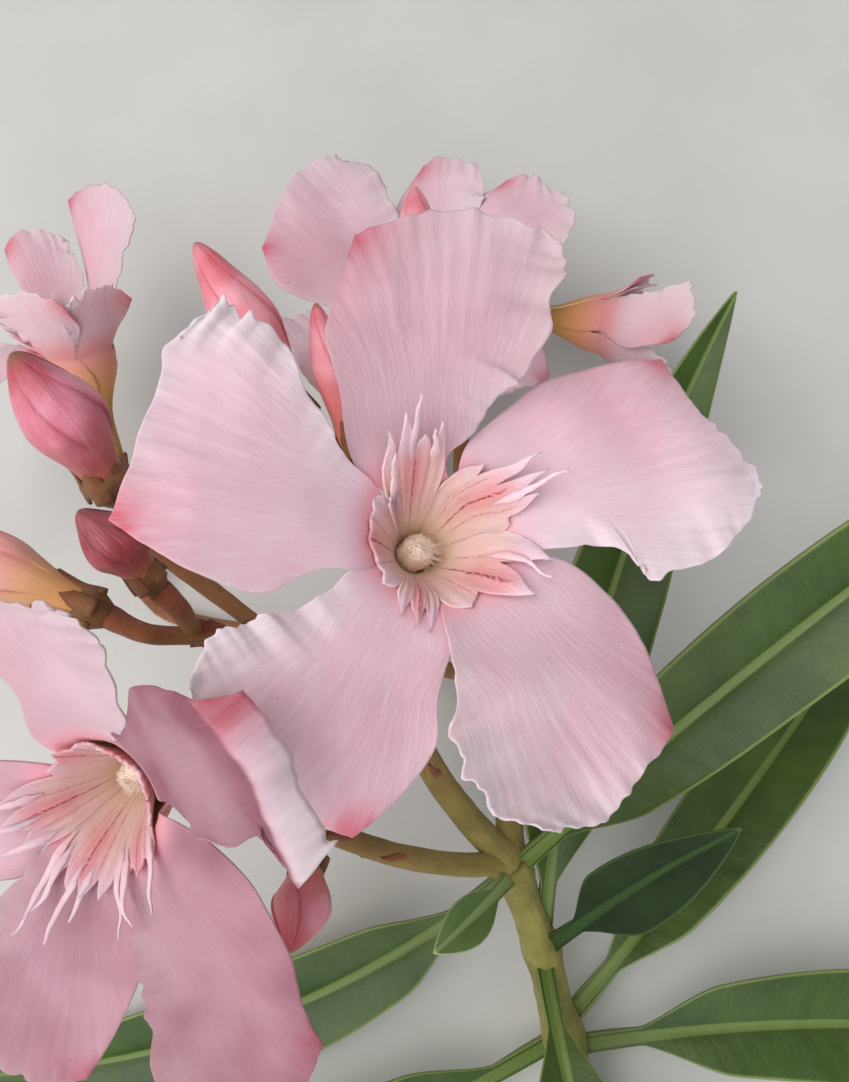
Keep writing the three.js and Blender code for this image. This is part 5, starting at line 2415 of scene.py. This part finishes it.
LEAVES = (
    Leaf("upper_right", 0.98, 47, -16, 43, 4, 96, 13.5, -6, seed=1.3),
    Leaf("upper_left", 0.98, 220, -42, -22, 3.48, 88, 13, 8, seed=2.9),
    Leaf("upper_small", 0.98, 214, 0, 68, 40, 21, 9.5, 0, Tone.TENDER, 4.1),
    Leaf("middle_back", 0.82, 88, -26, 27, 20, 86, 13, -10, seed=5.2),
    Leaf("middle_young", 0.82, 48, 0, 52, 66, 44, 9.5, 0, Tone.YOUNG, 6.6),
    Leaf("middle_front", 0.82, 274, 34, 42, -55.45, 82, 13.5, 0, seed=7.7),
    Leaf("low_right", 0.655, 12, -30, 12, -18.76, 88, 14, 0, seed=8.3),
    Leaf("low_back", 0.69, 48, 4, 8, -15.14, 92, 13, 12, seed=9.4),
    Leaf("low_left", 0.675, 206, -8, 8, -14.8, 92, 14, 0, seed=10.8),
)


@dataclass(frozen=True)
class Studio:
    """The pale floor, the soft light and the camera, which looks down on the shoot.

    Args:
        lens: The camera's focal length, in millimetres.
        height: How high the camera is above the ground, in millimetres.
        lean: How far its view leans from straight down towards +Y, in degrees.
    """

    lens: float = 32.36
    height: float = 143.8
    lean: float = 14.0

    SENSOR = 36.0
    NEAREST = 0.005
    FLOOR_HALF = 1.5

    def build(self) -> None:
        """Makes the floor, the lights and the camera."""
        self.build_floor()
        self.build_light("key", (-0.42, 0.0, 0.75), 0.7, 5.4, (1.0, 0.985, 0.96))
        self.build_light("fill", (-0.12, -0.6, 0.5), 0.9, 3.2, (0.94, 0.97, 1.0))
        world = bpy.data.worlds.new("studio")
        world.use_nodes = True
        sky = world.node_tree.nodes["Background"].inputs
        sky["Color"].default_value = (0.9, 0.94, 1.0, 1.0)
        sky["Strength"].default_value = 0.4
        bpy.context.scene.world = world
        self.build_camera()

    def build_floor(self) -> None:
        """Makes the floor with its faintly mottled finish."""
        mesh = bmesh.new()
        bmesh.ops.create_grid(mesh, x_segments=4, y_segments=4, size=self.FLOOR_HALF)
        data = bpy.data.meshes.new("floor")
        mesh.to_mesh(data)
        mesh.free()
        floor = bpy.data.objects.new("floor", data)
        bpy.context.scene.collection.objects.link(floor)
        nodes = Nodes("floor", 0.85, Specular_IOR_Level=0.2)
        mottle = nodes.noise(nodes.place(), 30, 4)
        colour = nodes.ramp(mottle, (0.3, srgb(196, 194, 189)), (0.7, srgb(206, 204, 200)))
        data.materials.append(nodes.done(colour, nodes.noise(nodes.place(), 900, 2), 0.05))

    def build_light(self, name: str, place: Point, width: float, power: float, colour: Colour) -> None:
        """Makes a broad soft light that looks at the shoot.

        Args:
            name: The light's name.
            place: Where it hangs, in metres.
            width: How wide it is, in metres.
            power: Its power in watts.
            colour: Its colour.
        """
        data = bpy.data.lights.new(name, "AREA")
        data.size = width
        data.energy = power
        data.color = colour
        light = bpy.data.objects.new(name, data)
        bpy.context.scene.collection.objects.link(light)
        light.location = place
        light.rotation_mode = "QUATERNION"
        light.rotation_quaternion = (-Vector(place)).to_track_quat("-Z", "Y")

    def build_camera(self) -> None:
        """Makes the camera."""
        data = bpy.data.cameras.new("camera")
        data.lens = self.lens
        data.sensor_width = self.SENSOR
        data.clip_start = self.NEAREST
        camera = bpy.data.objects.new("camera", data)
        bpy.context.scene.collection.objects.link(camera)
        camera.location = (LAID_AT + UP * self.height) * MM
        camera.rotation_euler = (math.radians(self.lean), 0.0, 0.0)
        bpy.context.scene.camera = camera
        bpy.context.scene.view_settings.view_transform = "Standard"


def main() -> None:
    """Builds the shoot, piece by piece, and its studio."""
    logging.basicConfig(level=logging.INFO, format="%(name)s: %(message)s")
    Studio().build()
    finishes = Finishes()
    branching = Branching(finishes, STEM, PEDUNCLES)
    branching.build()
    for number, (bloom, stalk) in enumerate(BLOOMS):
        bloom.build(finishes)
        branching.add_stalk(
            f"stalk_bloom_{bloom.name}", stalk, bloom.foot, bloom.axis, bloom.STALK_RADII, 40.0 + 3 * number,
        )
    for number, (bud, stalk) in enumerate(BUDS):
        bud.build(finishes)
        branching.add_stalk(
            f"stalk_bud_{bud.name}", stalk, Vector(bud.foot), bud.axis, bud.STALK_RADII, 80.0 + 3 * number,
        )
    for leaf in LEAVES:
        leaf.build(STEM.route.at(leaf.share), finishes)


if __name__ == "__main__":
    main()
